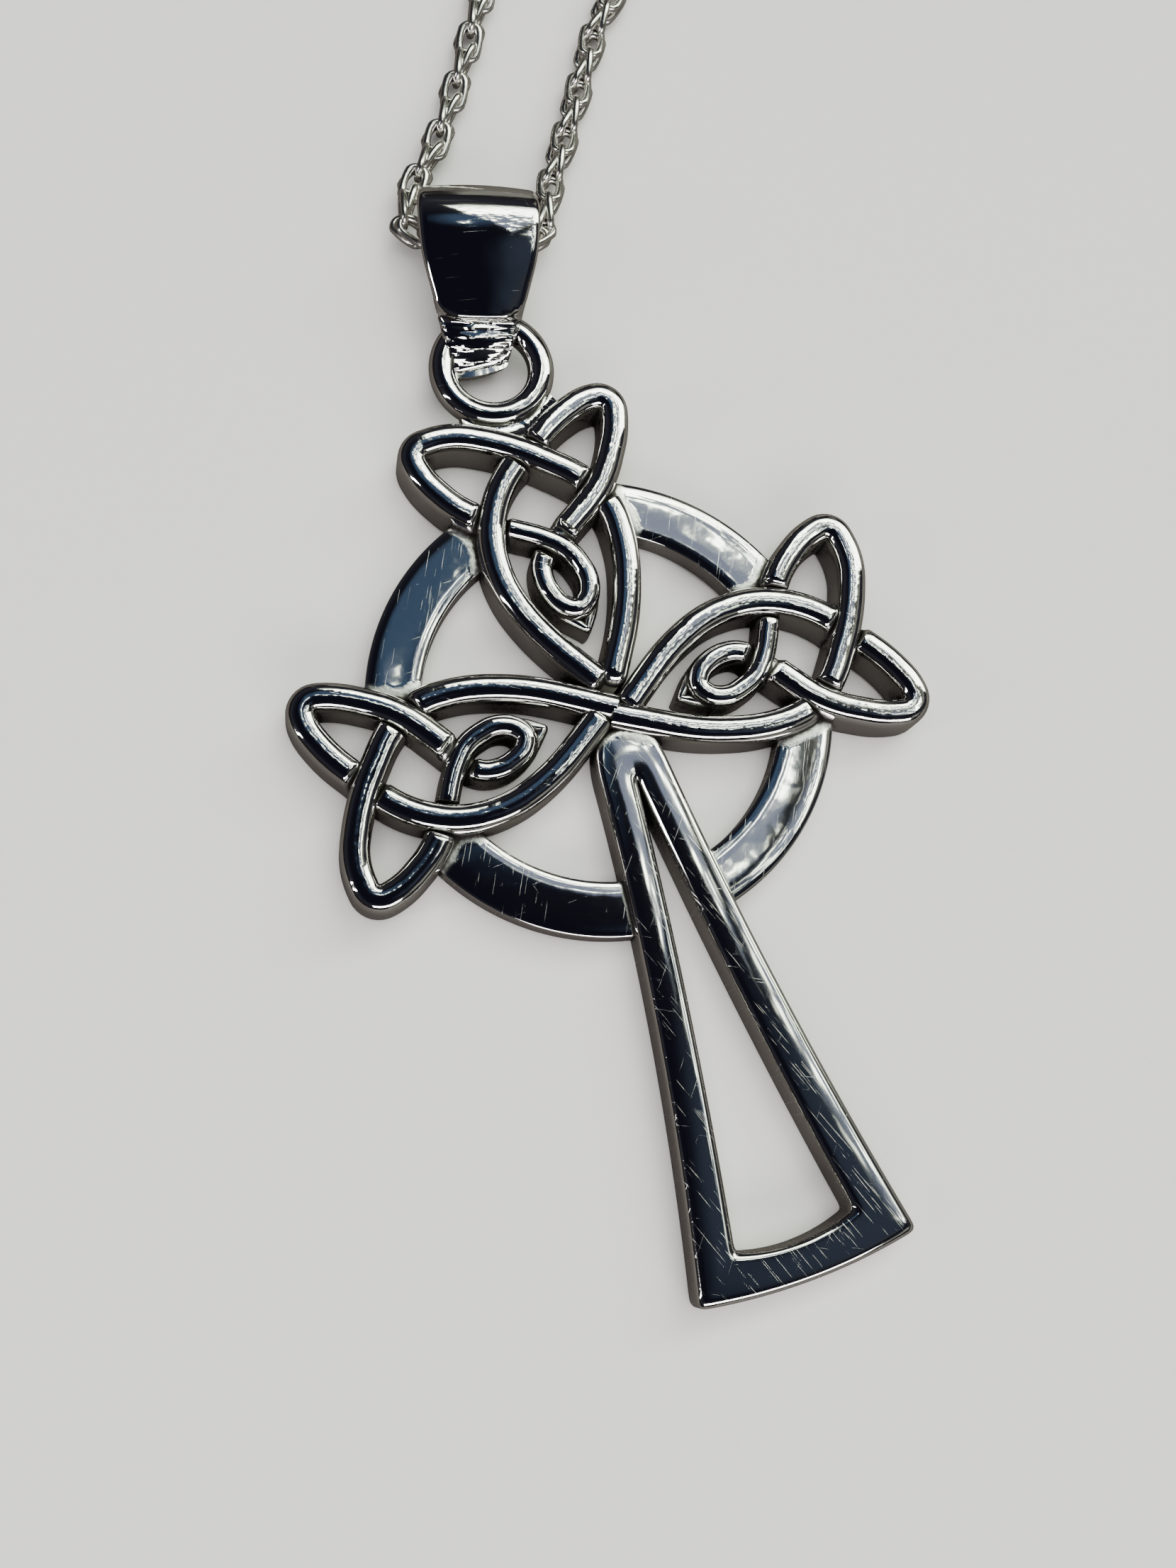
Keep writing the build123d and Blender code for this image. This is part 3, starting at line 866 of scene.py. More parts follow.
class Arm:
    """The strand of one knotwork arm, in four lines placed on the cross."""

    def __init__(self, sizes, lie, lean, growth, slip_out, slip_right, start):
        self.sizes = sizes
        place = Matrix.Rotation(math.radians(lie), 4, "Z")
        width = sizes.strand_width
        place @= Matrix.Translation((slip_right * width, slip_out * width, 0))
        place @= Matrix.Rotation(math.radians(lean), 4, "Z")
        self.place = place @ Matrix.Scale(growth, 4)
        self.start = start * width
        self.to_left_lobe = self.line(RIGHT_SIDE_TO_LEFT_LOBE)
        self.to_loop = self.line(LEFT_LOBE_TO_LOOP)
        self.to_right_lobe = self.line(LOOP_TO_RIGHT_LOBE)
        self.to_left_side = self.line(RIGHT_LOBE_TO_LEFT_SIDE)
        self.under_right_lobe, _ = crossing(self.to_left_lobe, self.to_right_lobe)
        self.under_left_side, _ = crossing(self.to_loop, self.to_left_side)
        self.under_loop, _ = crossing(self.to_right_lobe, self.to_loop, 0.2)
        self.under_left_lobe, self.over_left_side = crossing(self.to_left_side, self.to_left_lobe)

    def line(self, table):
        corners = []
        for across, out in table:
            corner = Vector((across * self.sizes.arm_half_spread, out * self.sizes.arm_reach, 0))
            corners.append(self.place @ corner)
        return rounded_line(corners)

    def left_knee(self):
        """Where the ring meets the left side of the arm."""
        return self.to_loop.at(self.under_left_side)

    def right_knee(self):
        """Where the ring meets the right side of the arm."""
        return self.to_left_lobe.at(self.under_right_lobe)

    def build(self, bm):
        """The whole strand, which dips wherever it passes under, and the low leaf."""
        sizes = self.sizes
        wide = sizes.strand_width
        lines = (self.to_left_lobe, self.to_loop, self.to_right_lobe, self.to_left_side)
        radii = (sizes.lobe_turn, sizes.loop_turn, sizes.lobe_turn)
        strand, starts = round_joints(lines, radii, self.start)
        dips = (starts[0] + self.under_right_lobe, starts[1] + self.under_left_side,
                starts[2] + self.under_loop, starts[3] + self.under_left_lobe, strand.length)
        covered = wide * 0.42
        slim = sizes.loop_width / wide
        low = sizes.strand_top - sizes.loop_top
        stations = bar_stations(strand)
        for index, (point, heading, _, _, _) in enumerate(stations):
            length = strand.length * index / (len(stations) - 1)
            gap = min(abs(length - at) for at in dips)
            under = 1 - eased(gap, covered, covered + sizes.under_slope)
            in_loop = min(eased(length, dips[1] - wide / 4, dips[1] + wide / 4),
                          1 - eased(length, dips[2] - wide / 4, dips[2] + wide / 4))
            drop = low * in_loop + sizes.under_drop * under
            stations[index] = (point, heading, 1 - (1 - slim) * in_loop, 1.0, drop)
        round_off(stations, wide / 2, at_start=self.start > 0, at_end=False)
        profile = bar_profile(wide, sizes.strand_shoulder, sizes.strand_top,
                              sizes.strand_squareness)
        add_sweep(bm, profile, stations)
        leaf = bar_profile(sizes.leaf_width, sizes.leaf_top - LEAF_RISE, sizes.leaf_top)
        for side in LEAF_SIDES:
            add_leaf(bm, self.line(side), leaf)


def arms(sizes):
    return {name: Arm(sizes, *values) for name, *values in ARMS}


class PENDANT_OT_knots(bpy.types.Operator):
    """Build the three knotwork arms, each one endless strand"""

    bl_idname = "pendant.knots"
    bl_label = "Knotwork arms"

    def execute(self, context):
        sizes = context.scene.pendant_cross
        finish = context.scene.pendant_finish
        material = silver_material("knot_silver", finish, scratches=0.35, direction=0.5)
        for name, arm in arms(sizes).items():
            bm = bmesh.new()
            arm.build(bm)
            finish_piece(bm, "knot_" + name, material, "cross")
        return {"FINISHED"}


def shaft_sides(sizes, lopsided=0.0):
    """Outer side and foot line of the shaft, whose right leg flares more by the second value."""
    corner = Vector((sizes.shaft_foot_half + lopsided * 0.6, sizes.shaft_foot, 0))
    waist = Vector((sizes.shaft_waist_half + lopsided, sizes.shaft_waist, 0))
    shoulder = Vector((sizes.shaft_top_half, sizes.shaft_shoulder, 0))
    right = arc_line(corner, waist, shoulder)
    middle = Vector((0, sizes.shaft_foot - sizes.shaft_foot_bow, 0))
    foot = arc_line(Vector((-corner.x, corner.y, 0)), middle, corner)
    return right, foot


def along_whole(line, count, start=0.0):
    """Even points along a line, without its last."""
    return [line.at(start + (line.length - start) * i / count) for i in range(count)]


def flipped(points):
    return [Vector((-point.x, point.y, point.z)) for point in points]


def softened(points, rounds):
    """A closed outline with its corners rounded off a little."""
    for _ in range(rounds):
        before = points[-1:] + points[:-1]
        after = points[1:] + points[:1]
        points = [a / 4 + b / 2 + c / 4 for a, b, c in zip(before, points, after)]
    return points


def leg_section(sizes):
    """Section of a shaft leg from its outside to the opening, as shares across and heights."""
    shoulder = sizes.shaft_shoulder_width / sizes.shaft_bar
    edge = sizes.shaft_edge
    half = [(0.06, 0.0), (0.015, edge * 0.1), (0.0, edge * 0.28), (0.0, edge * 0.7)]
    steps = 8
    shoulder_share = 0.965
    for step in range(steps + 1):
        angle = math.pi / 2 * step / steps
        rise = sizes.shaft_rise * shoulder_share * math.sin(angle)
        half.append((shoulder * (1 - math.cos(angle)), edge + rise))
    for part in (0.2, 0.5, 0.8):
        across = shoulder + (0.5 - shoulder) * part
        bulge = (1 - shoulder_share) * (1 - (1 - part) ** 2)
        half.append((across, edge + sizes.shaft_rise * (shoulder_share + bulge)))
    middle = [(0.5, edge + sizes.shaft_rise)]
    other = [(1 - across, height) for across, height in reversed(half)]
    return half + middle + other + half[:1]


class PENDANT_OT_ring(bpy.types.Operator):
    """Build the four stretches of the flat ring behind the arms"""

    bl_idname = "pendant.ring"
    bl_label = "Ring"

    def execute(self, context):
        sizes = context.scene.pendant_cross
        finish = context.scene.pendant_finish
        centre = Vector((*sizes.ring_shift, 0))
        knots = arms(sizes)

        def angle_of(point):
            arm = point - centre
            return math.degrees(math.atan2(arm.y, arm.x)) % 360

        right, _ = shaft_sides(sizes)
        leg_line = side_line(right, sizes.shaft_bar / 2)
        leg, _ = crossing(leg_line, ring_arc(centre, sizes.ring_radius, 270, 360))
        leg_point = leg_line.at(leg)
        right_leg = angle_of(leg_point)
        left_leg = angle_of(Vector((-leg_point.x, leg_point.y, 0)))
        turn_in = 2.6  # degrees, so that the ends lie under the strands
        starts = [angle_of(knots[name].left_knee()) + turn_in for name in ("right", "top", "left")]
        ends = [angle_of(knots[name].right_knee()) - turn_in for name in ("top", "left", "right")]
        stretches = [
            (starts[0], ends[0]),
            (starts[1], ends[1]),
            (starts[2], left_leg),
            (right_leg, ends[2]),
        ]
        profile = bar_profile(sizes.ring_width, sizes.ring_shoulder, sizes.ring_top,
                              squareness=3.6, dome=28)
        bm = bmesh.new()
        for start, end in stretches:
            stretch = ring_arc(centre, sizes.ring_radius, start, end)
            add_sweep(bm, profile, bar_stations(stretch))
        material = silver_material("ring_silver", finish, scratches=0.46,
                                   direction=-1.1, skin_depth=0.012 * MM,
                                   ripple=0.9 * MM, ripple_height=0.005 * MM)
        finish_piece(bm, "ring", material, "cross")
        return {"FINISHED"}


class PENDANT_OT_shaft(bpy.types.Operator):
    """Build the open shaft: two flaring legs on a bowed foot"""

    bl_idname = "pendant.shaft"
    bl_label = "Shaft"

    def execute(self, context):
        sizes = context.scene.pendant_cross
        finish = context.scene.pendant_finish
        crown = Vector((0, sizes.shaft_crown, 0))
        tip = Vector((0, sizes.hole_tip, 0))
        hole_corner = Vector((sizes.hole_foot_half, sizes.shaft_foot + sizes.shaft_foot_bar, 0))
        hole_middle = Vector((0, hole_corner.y - sizes.shaft_foot_bow, 0))
        waist = Vector((sizes.hole_waist_half, sizes.hole_waist, 0))
        hole_side = arc_line(tip, waist, hole_corner)
        hole_foot = arc_line(hole_corner, hole_middle, flipped([hole_corner])[0])
        top_count, side_count, foot_count = 16, 150, 60
        near_tip = 0.2 * MM

        def right_half(lopsided):
            side, foot = shaft_sides(sizes, lopsided)
            side = side.turned()
            brow = crown + Vector((sizes.shaft_top_half * 0.8, -0.25 * MM, 0))
            roof = rounded_line([crown, brow, side.at(0)])
            return along_whole(roof, top_count) + along_whole(side, side_count), foot

        outer, foot = right_half(sizes.shaft_lopsided)
        outer_left, foot_left = right_half(0)
        corners = [foot.at(foot.length), foot.at(foot.length / 2), foot_left.at(0)]
        outer += along_whole(arc_line(*corners), foot_count)
        outer += [foot_left.at(0)] + flipped(reversed(outer_left[1:]))
        hole = [hole_side.at(near_tip * i / top_count) for i in range(top_count)]
        hole += along_whole(hole_side, side_count, near_tip)
        left_of_hole = flipped(reversed(hole[1:]))
        hole += along_whole(hole_foot, foot_count) + [hole_foot.at(hole_foot.length)] + left_of_hole
        outer = softened(outer, 5)
        hole = softened(hole, 4)

        bm = bmesh.new()
        add_loft(bm, [
            [
                side.lerp(inside, across) + UP * height
                for side, inside in zip(outer, hole)
            ]
            for across, height in leg_section(sizes)
        ])
        material = silver_material("shaft_silver", finish, scratches=0.52,
                                   direction=1.2, skin_depth=0.012 * MM,
                                   ripple=2.6 * MM, ripple_height=0.012 * MM)
        finish_piece(bm, "shaft", material, "cross")
        return {"FINISHED"}


class PENDANT_OT_jump_ring(bpy.types.Operator):
    """Build the round wire ring on the top arm, and the solder that holds it"""

    bl_idname = "pendant.jump_ring"
    bl_label = "Jump ring"

    def execute(self, context):
        sizes = context.scene.pendant_cross
        finish = context.scene.pendant_finish
        centre = Vector((0, sizes.jump_ring_out, sizes.jump_ring_height))
        wire = sizes.jump_ring_wire / 2
        bm = bmesh.new()
        across = Matrix.Rotation(math.pi / 2, 4, "X")
        place = Matrix.Translation(centre + Vector((sizes.jump_ring_radius, 0, 0))) @ across
        circle = bmesh.ops.create_circle(bm, cap_ends=False, segments=24, radius=wire, matrix=place)
        middle = place.translation
        for vert in circle["verts"]:
            arm = (vert.co - middle) / wire
            square = sizes.jump_ring_squareness
            longest = (abs(arm.x) ** square + abs(arm.z) ** square) ** (1 / square)
            vert.co = middle + arm / longest * wire
        spin_round(bm, circle["verts"], 96, centre)
        material = silver_material("jump_ring_silver", finish, scratches=0.35, direction=0.3,
                                   fainter_patina_and_shade=0.3)
        finish_piece(bm, "jump_ring", material, "cross")

        top = arms(sizes)["top"]
        along_left = top.to_left_lobe
        along_right = top.to_left_side
        rim = [along_left.at(top.over_left_side + reach * MM) for reach in SOLDER_ON_LEFT_LOBE]
        rim += [along_right.at(top.under_left_lobe - reach * MM) for reach in SOLDER_ON_RIGHT_LOBE]
        strands = rounded_line(rim, reach=0.45)
        round_ring = ring_arc(Vector((0, sizes.jump_ring_out, 0)), sizes.jump_ring_radius,
                              SOLDER_START, SOLDER_END, steps=24)
        columns, rows = 30, 12
        bm = bmesh.new()
        grid = bmesh.ops.create_grid(bm, x_segments=columns, y_segments=rows, size=0.5)
        for vert in grid["verts"]:
            across = vert.co.x + 0.5
            out = vert.co.y + 0.5
            low = strands.at(strands.length * across)
            low += UP * (sizes.strand_top - sizes.solder_below_strand)
            high = round_ring.at(round_ring.length * across)
            high += UP * (sizes.jump_ring_height + sizes.solder_up_wire)
            gap = (high - low).length
            sag = min(0.22 * gap, sizes.solder_sag) * 4 * out * (1 - out)
            vert.co = low.lerp(high, out) - UP * sag
        faces = bm.faces[:]
        if faces[0].normal.z < 0:
            bmesh.ops.reverse_faces(bm, faces=faces)
        lifted = bmesh.ops.extrude_face_region(bm, geom=faces)["geom"]
        lowered = [v for v in bm.verts if v not in set(lifted)]
        for vert in lowered:
            vert.co.z = sizes.solder_bottom
        material = silver_material("solder_silver", finish, direction=0.8, ripple=0.8 * MM,
                                   ripple_height=0.04 * MM, fainter_patina_and_shade=0.3)
        finish_piece(bm, "solder", material, "cross", sharp=80)
        return {"FINISHED"}


class PENDANT_OT_patina_and_shade_cross(bpy.types.Operator):
    """Mark the crevices and openings for the patina and painted shade, and the unpolished skin near
    the joints of the cross
    """

    bl_idname = "pendant.age_cross"
    bl_label = "Patina of the cross"

    def execute(self, context):
        names = ("knot_top", "knot_right", "knot_left", "ring", "shaft", "jump_ring", "solder")
        parts = [bpy.data.objects[name] for name in names]
        mark_patina_and_shade(parts)
        knots = parts[:3]
        mark_skin([bpy.data.objects["ring"], bpy.data.objects["shaft"]], knots, 1.2 * MM)
        return {"FINISHED"}


# Bail

def hull_loop(circles, count, turns=720):
    """Even points round the outline that a belt makes on circles of (place, radius)."""
    belt = []
    for step in range(turns):
        angle = math.tau * step / turns
        way = way_to(angle).xy
        place, radius = max(circles, key=lambda item: item[0].dot(way) + item[1])
        belt.append(place + way * radius)
    loop = Line([Vector((*point, 0)) for point in belt + belt[:1]])
    return [loop.at(loop.length * i / count).xy for i in range(count)]


def outline_half(sizes, along):
    """Half width of the bail's front at a distance from its tip."""
    rows = BAIL_OUTLINE
    place = along / sizes.length
    place = min(max(place, rows[0][1]), rows[-1][1])
    for (width_a, at_a), (width_b, at_b) in zip(rows, rows[1:]):
        if place <= at_b:
            part = (place - at_a) / (at_b - at_a)
            return (width_a + (width_b - width_a) * part) * sizes.wide / 2
    return rows[-1][0] * sizes.wide / 2


def smooth_half(sizes, along, reach=0.7 * MM):
    """The same, averaged over a short stretch, so that the sides are smooth curves."""
    steps = 6
    total = 0.0
    for step in range(-steps, steps + 1):
        total += outline_half(sizes, along + reach * step / steps)
    return total / (2 * steps + 1)


def bail_place(sizes):
    return Matrix.Translation((*sizes.tip_place, 0)) @ Matrix.Rotation(sizes.lean, 4, "Z")


class PENDANT_OT_bail(bpy.types.Operator):
    """Build the folded bail, with its plain front and the ridges at its tip"""

    bl_idname = "pendant.bail"
    bl_label = "Bail"

    def execute(self, context):
        sizes = context.scene.pendant_bail
        finish = context.scene.pendant_finish
        around = 264
        right_half = (0.15, 0.45, 0.7, 0.85, 0.91, 0.955, 0.985, 1.0)
        across = [-share_across for share_across in reversed(right_half)] + list(right_half)
        columns = len(across) - 1
        radius = sizes.height / 2
        top = Vector((sizes.length - radius, radius))
        eye = Vector((sizes.eye_at, sizes.eye_height))
        tip = Vector((sizes.tip_radius, sizes.tip_height))
        outer = hull_loop(
            [(tip, sizes.tip_radius), (eye, sizes.eye_radius + sizes.wall), (top, radius)], around)
        inner = hull_loop([(eye, sizes.eye_radius), (top, radius - sizes.wall)], around)
        bowed = softened(outer, 420)
        outer = [
            point.lerp(bow, eased(point.x, sizes.length * 0.3, sizes.length * 0.55))
            for point, bow in zip(outer, bowed)
        ]

        def half_at(point):
            front = max(other.y for other in outer if abs(other.x - point.x) < 0.15 * MM)
            back = max(0.0, front - point.y) * math.tan(sizes.side_slope)
            return smooth_half(sizes, point.x) - back

        def relief(point, share_across, half):
            """How far the front is cut back: the step below the plate, then the ridges."""
            into_corner = max(0.0, half * abs(share_across) - (half - sizes.plate_corner))
            part = min(into_corner / sizes.plate_corner, 1.0)
            end = sizes.plate_end + sizes.plate_corner * (1 - math.sqrt(1 - part * part))
            if point.y < sizes.eye_height or point.x > end:
                return 0.0
            down = end - point.x
            cut = sizes.plate_drop * eased(down, 0.0, sizes.plate_step)
            if down > sizes.plate_step:
                phase = (down / sizes.ridge_pitch) % 1.0
                cut += sizes.ridge_depth * (1 - phase) ** 0.6
            return cut

        def edge_drop(share_across, half):
            """How far the face has turned down, towards a long edge."""
            from_edge = half * (1 - abs(share_across))
            turned = max(0.0, 1 - from_edge / sizes.soft_edge)
            rounded = sizes.soft_edge * (1 - math.sqrt(max(0.0, 1 - turned * turned)))
            return rounded + sizes.crown * share_across * share_across

        def add_wall(bm, loop, outward):
            """A closed band of faces round a loop, across the strap's width."""
            grid = bmesh.ops.create_grid(bm, x_segments=columns, y_segments=around, size=0.5)
            halves = [half_at(point) for point in loop]
            for vert in grid["verts"]:
                column = round((vert.co.x + 0.5) * columns)
                row = round((vert.co.y + 0.5) * around) % around
                point = loop[row]
                before = loop[(row - 1) % around]
                after = loop[(row + 1) % around]
                along = (after - before).normalized()
                normal = Vector((along.y, -along.x))
                half = halves[row]
                if outward:
                    drop = edge_drop(across[column], half) + relief(point, across[column], half)
                    point = point - normal * drop
                slant = 1 - eased(point.x, 0.0, sizes.plate_end)
                along = point.x + sizes.tip_slant * across[column] * slant
                vert.co = Vector((across[column] * half, along, point.y))
            bmesh.ops.remove_doubles(bm, verts=bm.verts, dist=WELD)

        bm = bmesh.new()
        add_wall(bm, outer, True)
        add_wall(bm, inner, False)
        rims = [edge for edge in bm.edges if edge.is_boundary]
        for side in (1, -1):
            bmesh.ops.bridge_loops(bm, edges=[e for e in rims if e.verts[0].co.x * side > 0])
        bmesh.ops.transform(bm, matrix=bail_place(sizes), verts=bm.verts)
        material = silver_material("bail_polish", finish, scratches=0.4,
                                   direction=0.2, ripple=1.8 * MM, ripple_height=0.016 * MM)
        piece = finish_piece(bm, "bail_strap", material, "bail", sharp=45)
        # Patina and painted shade in the bail's hollows.
        mark_patina_and_shade([piece], reach=0.8 * MM)
        return {"FINISHED"}


# Chain

def link_mesh(name, sizes, around, wire_sides):
    """One oval link with its long side along X."""
    bm = bmesh.new()
    wire = sizes.link_wire / 2
    radius = sizes.link_width / 2 - wire
    half_run = (sizes.link_length - sizes.link_width) / 2
    place = Matrix.Translation((0, radius, 0)) @ Matrix.Rotation(math.pi / 2, 4, "Y")
    circle = bmesh.ops.create_circle(bm, cap_ends=False, segments=wire_sides, radius=wire,
                                     matrix=place)
    spin_round(bm, circle["verts"], around)
    draw_out(bm, 0, half_run, radius * 0.55)
    bmesh.ops.remove_doubles(bm, verts=bm.verts, dist=WELD)
    bmesh.ops.recalc_face_normals(bm, faces=bm.faces)
    return mesh_of(bm, name)


def chain_frame(chain, bail):
    middle = bail_place(bail) @ Vector((0, chain.in_bail, 0))
    return Matrix.Translation(middle) @ Matrix.Rotation(chain.heading, 4, "Z")


def chain_line(chain, bail):
    """Middle line of the chain, from one end of the clasp through the bail to the other."""
    frame_of_chain = chain_frame(chain, bail)

    def placed(rows):
        return [
            frame_of_chain @ Vector((along * MM, aside * MM, lift * MM + chain.lift))
            for along, aside, lift in rows
        ]

    folds = []
    for side in (-1, 1):
        fold = Vector((side * chain.fold_across, chain.in_bail, chain.lift + chain.in_bail_lift))
        folds.append(bail_place(bail) @ fold)
    corners = placed(CHAIN_LEFT_SIDE) + folds + placed(CHAIN_RIGHT_SIDE)
    curve = bpy.data.curves.new("chain_route", "CURVE")
    curve.dimensions = "3D"
    curve.resolution_u = 40
    spline = curve.splines.new("NURBS")
    spline.points.add(len(corners) - 1)
    for point, corner in zip(spline.points, corners):
        point.co = (*corner, 1)
    spline.order_u = 3
    spline.use_endpoint_u = True
    route = add_object("chain_route", curve)
    mesh = bpy.data.meshes.new_from_object(route)
    line = Line([vert.co.copy() for vert in mesh.vertices])
    bpy.data.objects.remove(route)
    bpy.data.curves.remove(curve)
    bpy.data.meshes.remove(mesh)
    return line


class PENDANT_OT_chain(bpy.types.Operator):
    """Build the rope chain from pairs of oval links, turned by a quarter from pair to pair"""

    bl_idname = "pendant.chain"
    bl_label = "Chain"

    def execute(self, context):
        chain = context.scene.pendant_chain
        bail = context.scene.pendant_bail
        finish = context.scene.pendant_finish
        line = chain_line(chain, bail)
        middle = bail_place(bail) @ Vector((0, chain.in_bail, 0))
        pairs = round(line.length / chain.link_pitch)
        pitch = line.length / pairs
        fine = link_mesh("fine_link", chain, 28, 10)
        plain = link_mesh("plain_link", chain, 12, 5)
        meshes = {"chain_links_near": (fine, bmesh.new()), "chain_links": (plain, bmesh.new())}
        for index in range(pairs):
            length = pitch * (index + 0.5)
            point = line.at(length)
            along = line.heading(length)
            side = UP.cross(along).normalized()
            over = along.cross(side)
            axes = Matrix((along, side, over)).transposed().to_4x4()
            near = (point - middle).length < chain.near
            source, bm = meshes["chain_links_near" if near else "chain_links"]
            stand = 0.0 if index % 2 else math.pi / 2
            for which in (-1, 1):
                place = Matrix.Translation(point) @ axes
                place @= Matrix.Rotation(stand, 4, "X")
                shift = Vector((chain.pair_shift, 0.03 * MM, chain.link_wire * 0.42))
                place @= Matrix.Translation(shift * which)
                place @= Matrix.Rotation(which * chain.link_skew, 4, "Z")
                place @= Matrix.Rotation(which * chain.link_tilt, 4, "Y")
                start = len(bm.verts)
                bm.from_mesh(source)
                bm.verts.ensure_lookup_table()
                bmesh.ops.transform(bm, matrix=place, verts=bm.verts[start:])
        material = silver_material("chain_polish", finish, finish.chain_silver, scratches=0.3,
                                   ripple_height=0.006 * MM, fainter_patina_and_shade=0.28, polish=0.22)
        for name, (source, bm) in meshes.items():
            piece = finish_piece(bm, name, material, "chain")
            if name == "chain_links_near":
                # Patina and painted shade between the near links.
                mark_patina_and_shade([piece], reach=0.8 * MM)
            bpy.data.meshes.remove(source)
        return {"FINISHED"}


class PENDANT_OT_clasp(bpy.types.Operator):
    """Build the plain oval ring that joins the ends of the chain"""

    bl_idname = "pendant.clasp"
    bl_label = "Clasp"

    def execute(self, context):
        chain = context.scene.pendant_chain
        bail = context.scene.pendant_bail
        finish = context.scene.pendant_finish
        wall = chain.clasp_wall
        radius = (chain.clasp_width - wall) / 2
        half_run = (chain.clasp_length - chain.clasp_width) / 2
        bm = bmesh.new()
        inside, outside, high = radius - wall / 2, radius + wall / 2, chain.clasp_height
        corners = [(inside, 0, 0), (outside, 0, 0), (outside, 0, high), (inside, 0, high)]
        spin_round(bm, add_outline(bm, corners)[0], 64)
        draw_out(bm, 1, half_run, radius * 0.2)
        bmesh.ops.recalc_face_normals(bm, faces=bm.faces)
        ridges = [e for e in bm.edges if e.calc_face_angle() > math.radians(60)]
        bmesh.ops.bevel(bm, geom=ridges, offset=chain.clasp_soft_edge, segments=4,
                        affect="EDGES", profile=0.5, material=-1)
        place = chain_frame(chain, bail) @ Matrix.Translation((chain.clasp_along, 0, 0))
        bmesh.ops.transform(bm, matrix=place, verts=bm.verts)
        material = silver_material("clasp_polish", finish, finish.chain_silver, scratches=0.45)
        finish_piece(bm, "clasp_ring", material, "clasp")
        return {"FINISHED"}


# Stage

def softbox(name, azimuth, zenith, width, height, power, tint, seen=True):
    """A light that faces the pendant, placed by its azimuth and its angle from straight up."""
    light = bpy.data.lights.new(name, "AREA")
    light.shape = "RECTANGLE"
    light.size = width
    light.size_y = height
    light.energy = power
    light.color = tint
    lamp = add_object(name, light)
    lean = math.radians(zenith)
    way = way_to(math.radians(azimuth)) * math.sin(lean) + UP * math.cos(lean)
    facing = (-way).to_track_quat("-Z", "Y").to_matrix().to_4x4()
    lamp.matrix_world = Matrix.Translation(way * SOFTBOX_DISTANCE) @ facing
    lamp.visible_glossy = seen


def sky_spot(tree, place, wobble, east, north, reach, core):
    """A soft spot of the surroundings: 1 in its core, and 0 beyond its reach."""
    distance = vector_maths(tree, "DISTANCE", place, (east, north, 0.0))
    return remap(tree, maths(tree, "ADD", distance, wobble), reach, core)


def sky_world(look):
    """The studio's surroundings: dark overhead, with a bright dappled quarter at the right.

    Its places are given by the slopes of their directions to the east and to the north.
    """
    world = bpy.data.worlds.new("studio")
    world.use_nodes = True
    tree = world.node_tree
    tree.nodes.clear()
    direction = add_node(tree, "ShaderNodeTexCoord").outputs["Generated"]
    parts = add_node(tree, "ShaderNodeSeparateXYZ", {0: direction})
    lift = maths(tree, "MAXIMUM", parts.outputs["Z"], 0.02)
    east = maths(tree, "DIVIDE", parts.outputs["X"], lift)
    north = maths(tree, "DIVIDE", parts.outputs["Y"], lift)
    flat = add_node(tree, "ShaderNodeCombineXYZ", {"X": east, "Y": north}).outputs[0]
    cloud = noise(tree, flat, scale=9.0, detail=2.0)
    wobble = maths(tree, "MULTIPLY", maths(tree, "SUBTRACT", cloud, 0.5), 0.05)
    slant = maths(tree, "MULTIPLY", maths(tree, "MINIMUM", north, 0.4), 0.2)
    slant = maths(tree, "ADD", east, slant)
    from_left = remap(tree, maths(tree, "ADD", slant, wobble), 0.263, 0.281)
    from_right = remap(tree, east, 2.8, 1.6)
    wavy_north = maths(tree, "ADD", north, wobble)
    lower_edge = remap(tree, east, 0.25, 0.39, 0.04, 0.2)
    from_below = remap(tree, maths(tree, "SUBTRACT", wavy_north, lower_edge), -0.02, 0.03)
    from_above = remap(tree, wavy_north, 0.95, 0.55)
    quarter = maths(tree, "MULTIPLY", maths(tree, "MULTIPLY", from_left, from_right),
                    maths(tree, "MULTIPLY", from_below, from_above))
    for spot in BRIGHT_SPOTS:
        quarter = maths(tree, "MAXIMUM", quarter, sky_spot(tree, flat, wobble, *spot))

    dots = add_node(tree, "ShaderNodeTexVoronoi", {"Vector": flat, "Scale": 34.0})
    clusters = noise(tree, flat, scale=16.0)
    denser = maths(tree, "MAXIMUM", remap(tree, east, 0.42, 0.6, 0.0, 0.4),
                   remap(tree, north, 0.38, 0.5, 0.0, 0.4))
    spread = maths(tree, "SUBTRACT", dots.outputs["Distance"], clusters)
    white = remap(tree, maths(tree, "SUBTRACT", spread, denser), -0.14, -0.26)
    glow = blend(tree, white, look.shade, look.glare)

    ramp = add_node(tree, "ShaderNodeValToRGB", {"Fac": parts.outputs["Z"]})
    stops = ramp.color_ramp.elements
    for stop, (position, tone) in zip(stops, (ROOM_TONES[0], ROOM_TONES[-1])):
        stop.position = position
        stop.color = (*tone, 1)
    for position, tone in ROOM_TONES[1:-1]:
        stops.new(position).color = (*tone, 1)
    patches = remap(tree, noise(tree, direction, scale=3.2, detail=2.0), 0.46, 0.62)
    grey = maths(tree, "MULTIPLY", patches, remap(tree, east, 0.2, 0.6))
    dark = blend(tree, grey, ramp.outputs["Color"], look.grey)
    for *spot, tone in DARK_SPOTS:
        dark = blend(tree, sky_spot(tree, flat, wobble, *spot), dark, tone)

    whole = blend(tree, quarter, dark, glow)
    room = add_node(tree, "ShaderNodeBackground", {"Color": whole, "Strength": look.window})
    behind = add_node(tree, "ShaderNodeBackground", {"Color": (*look.backdrop, 1)})
    seen = add_node(tree, "ShaderNodeLightPath").outputs["Is Camera Ray"]
    mix = add_node(tree, "ShaderNodeMixShader", {0: seen, 1: room.outputs[0], 2: behind.outputs[0]})
    add_node(tree, "ShaderNodeOutputWorld", {"Surface": mix.outputs[0]})
    return world


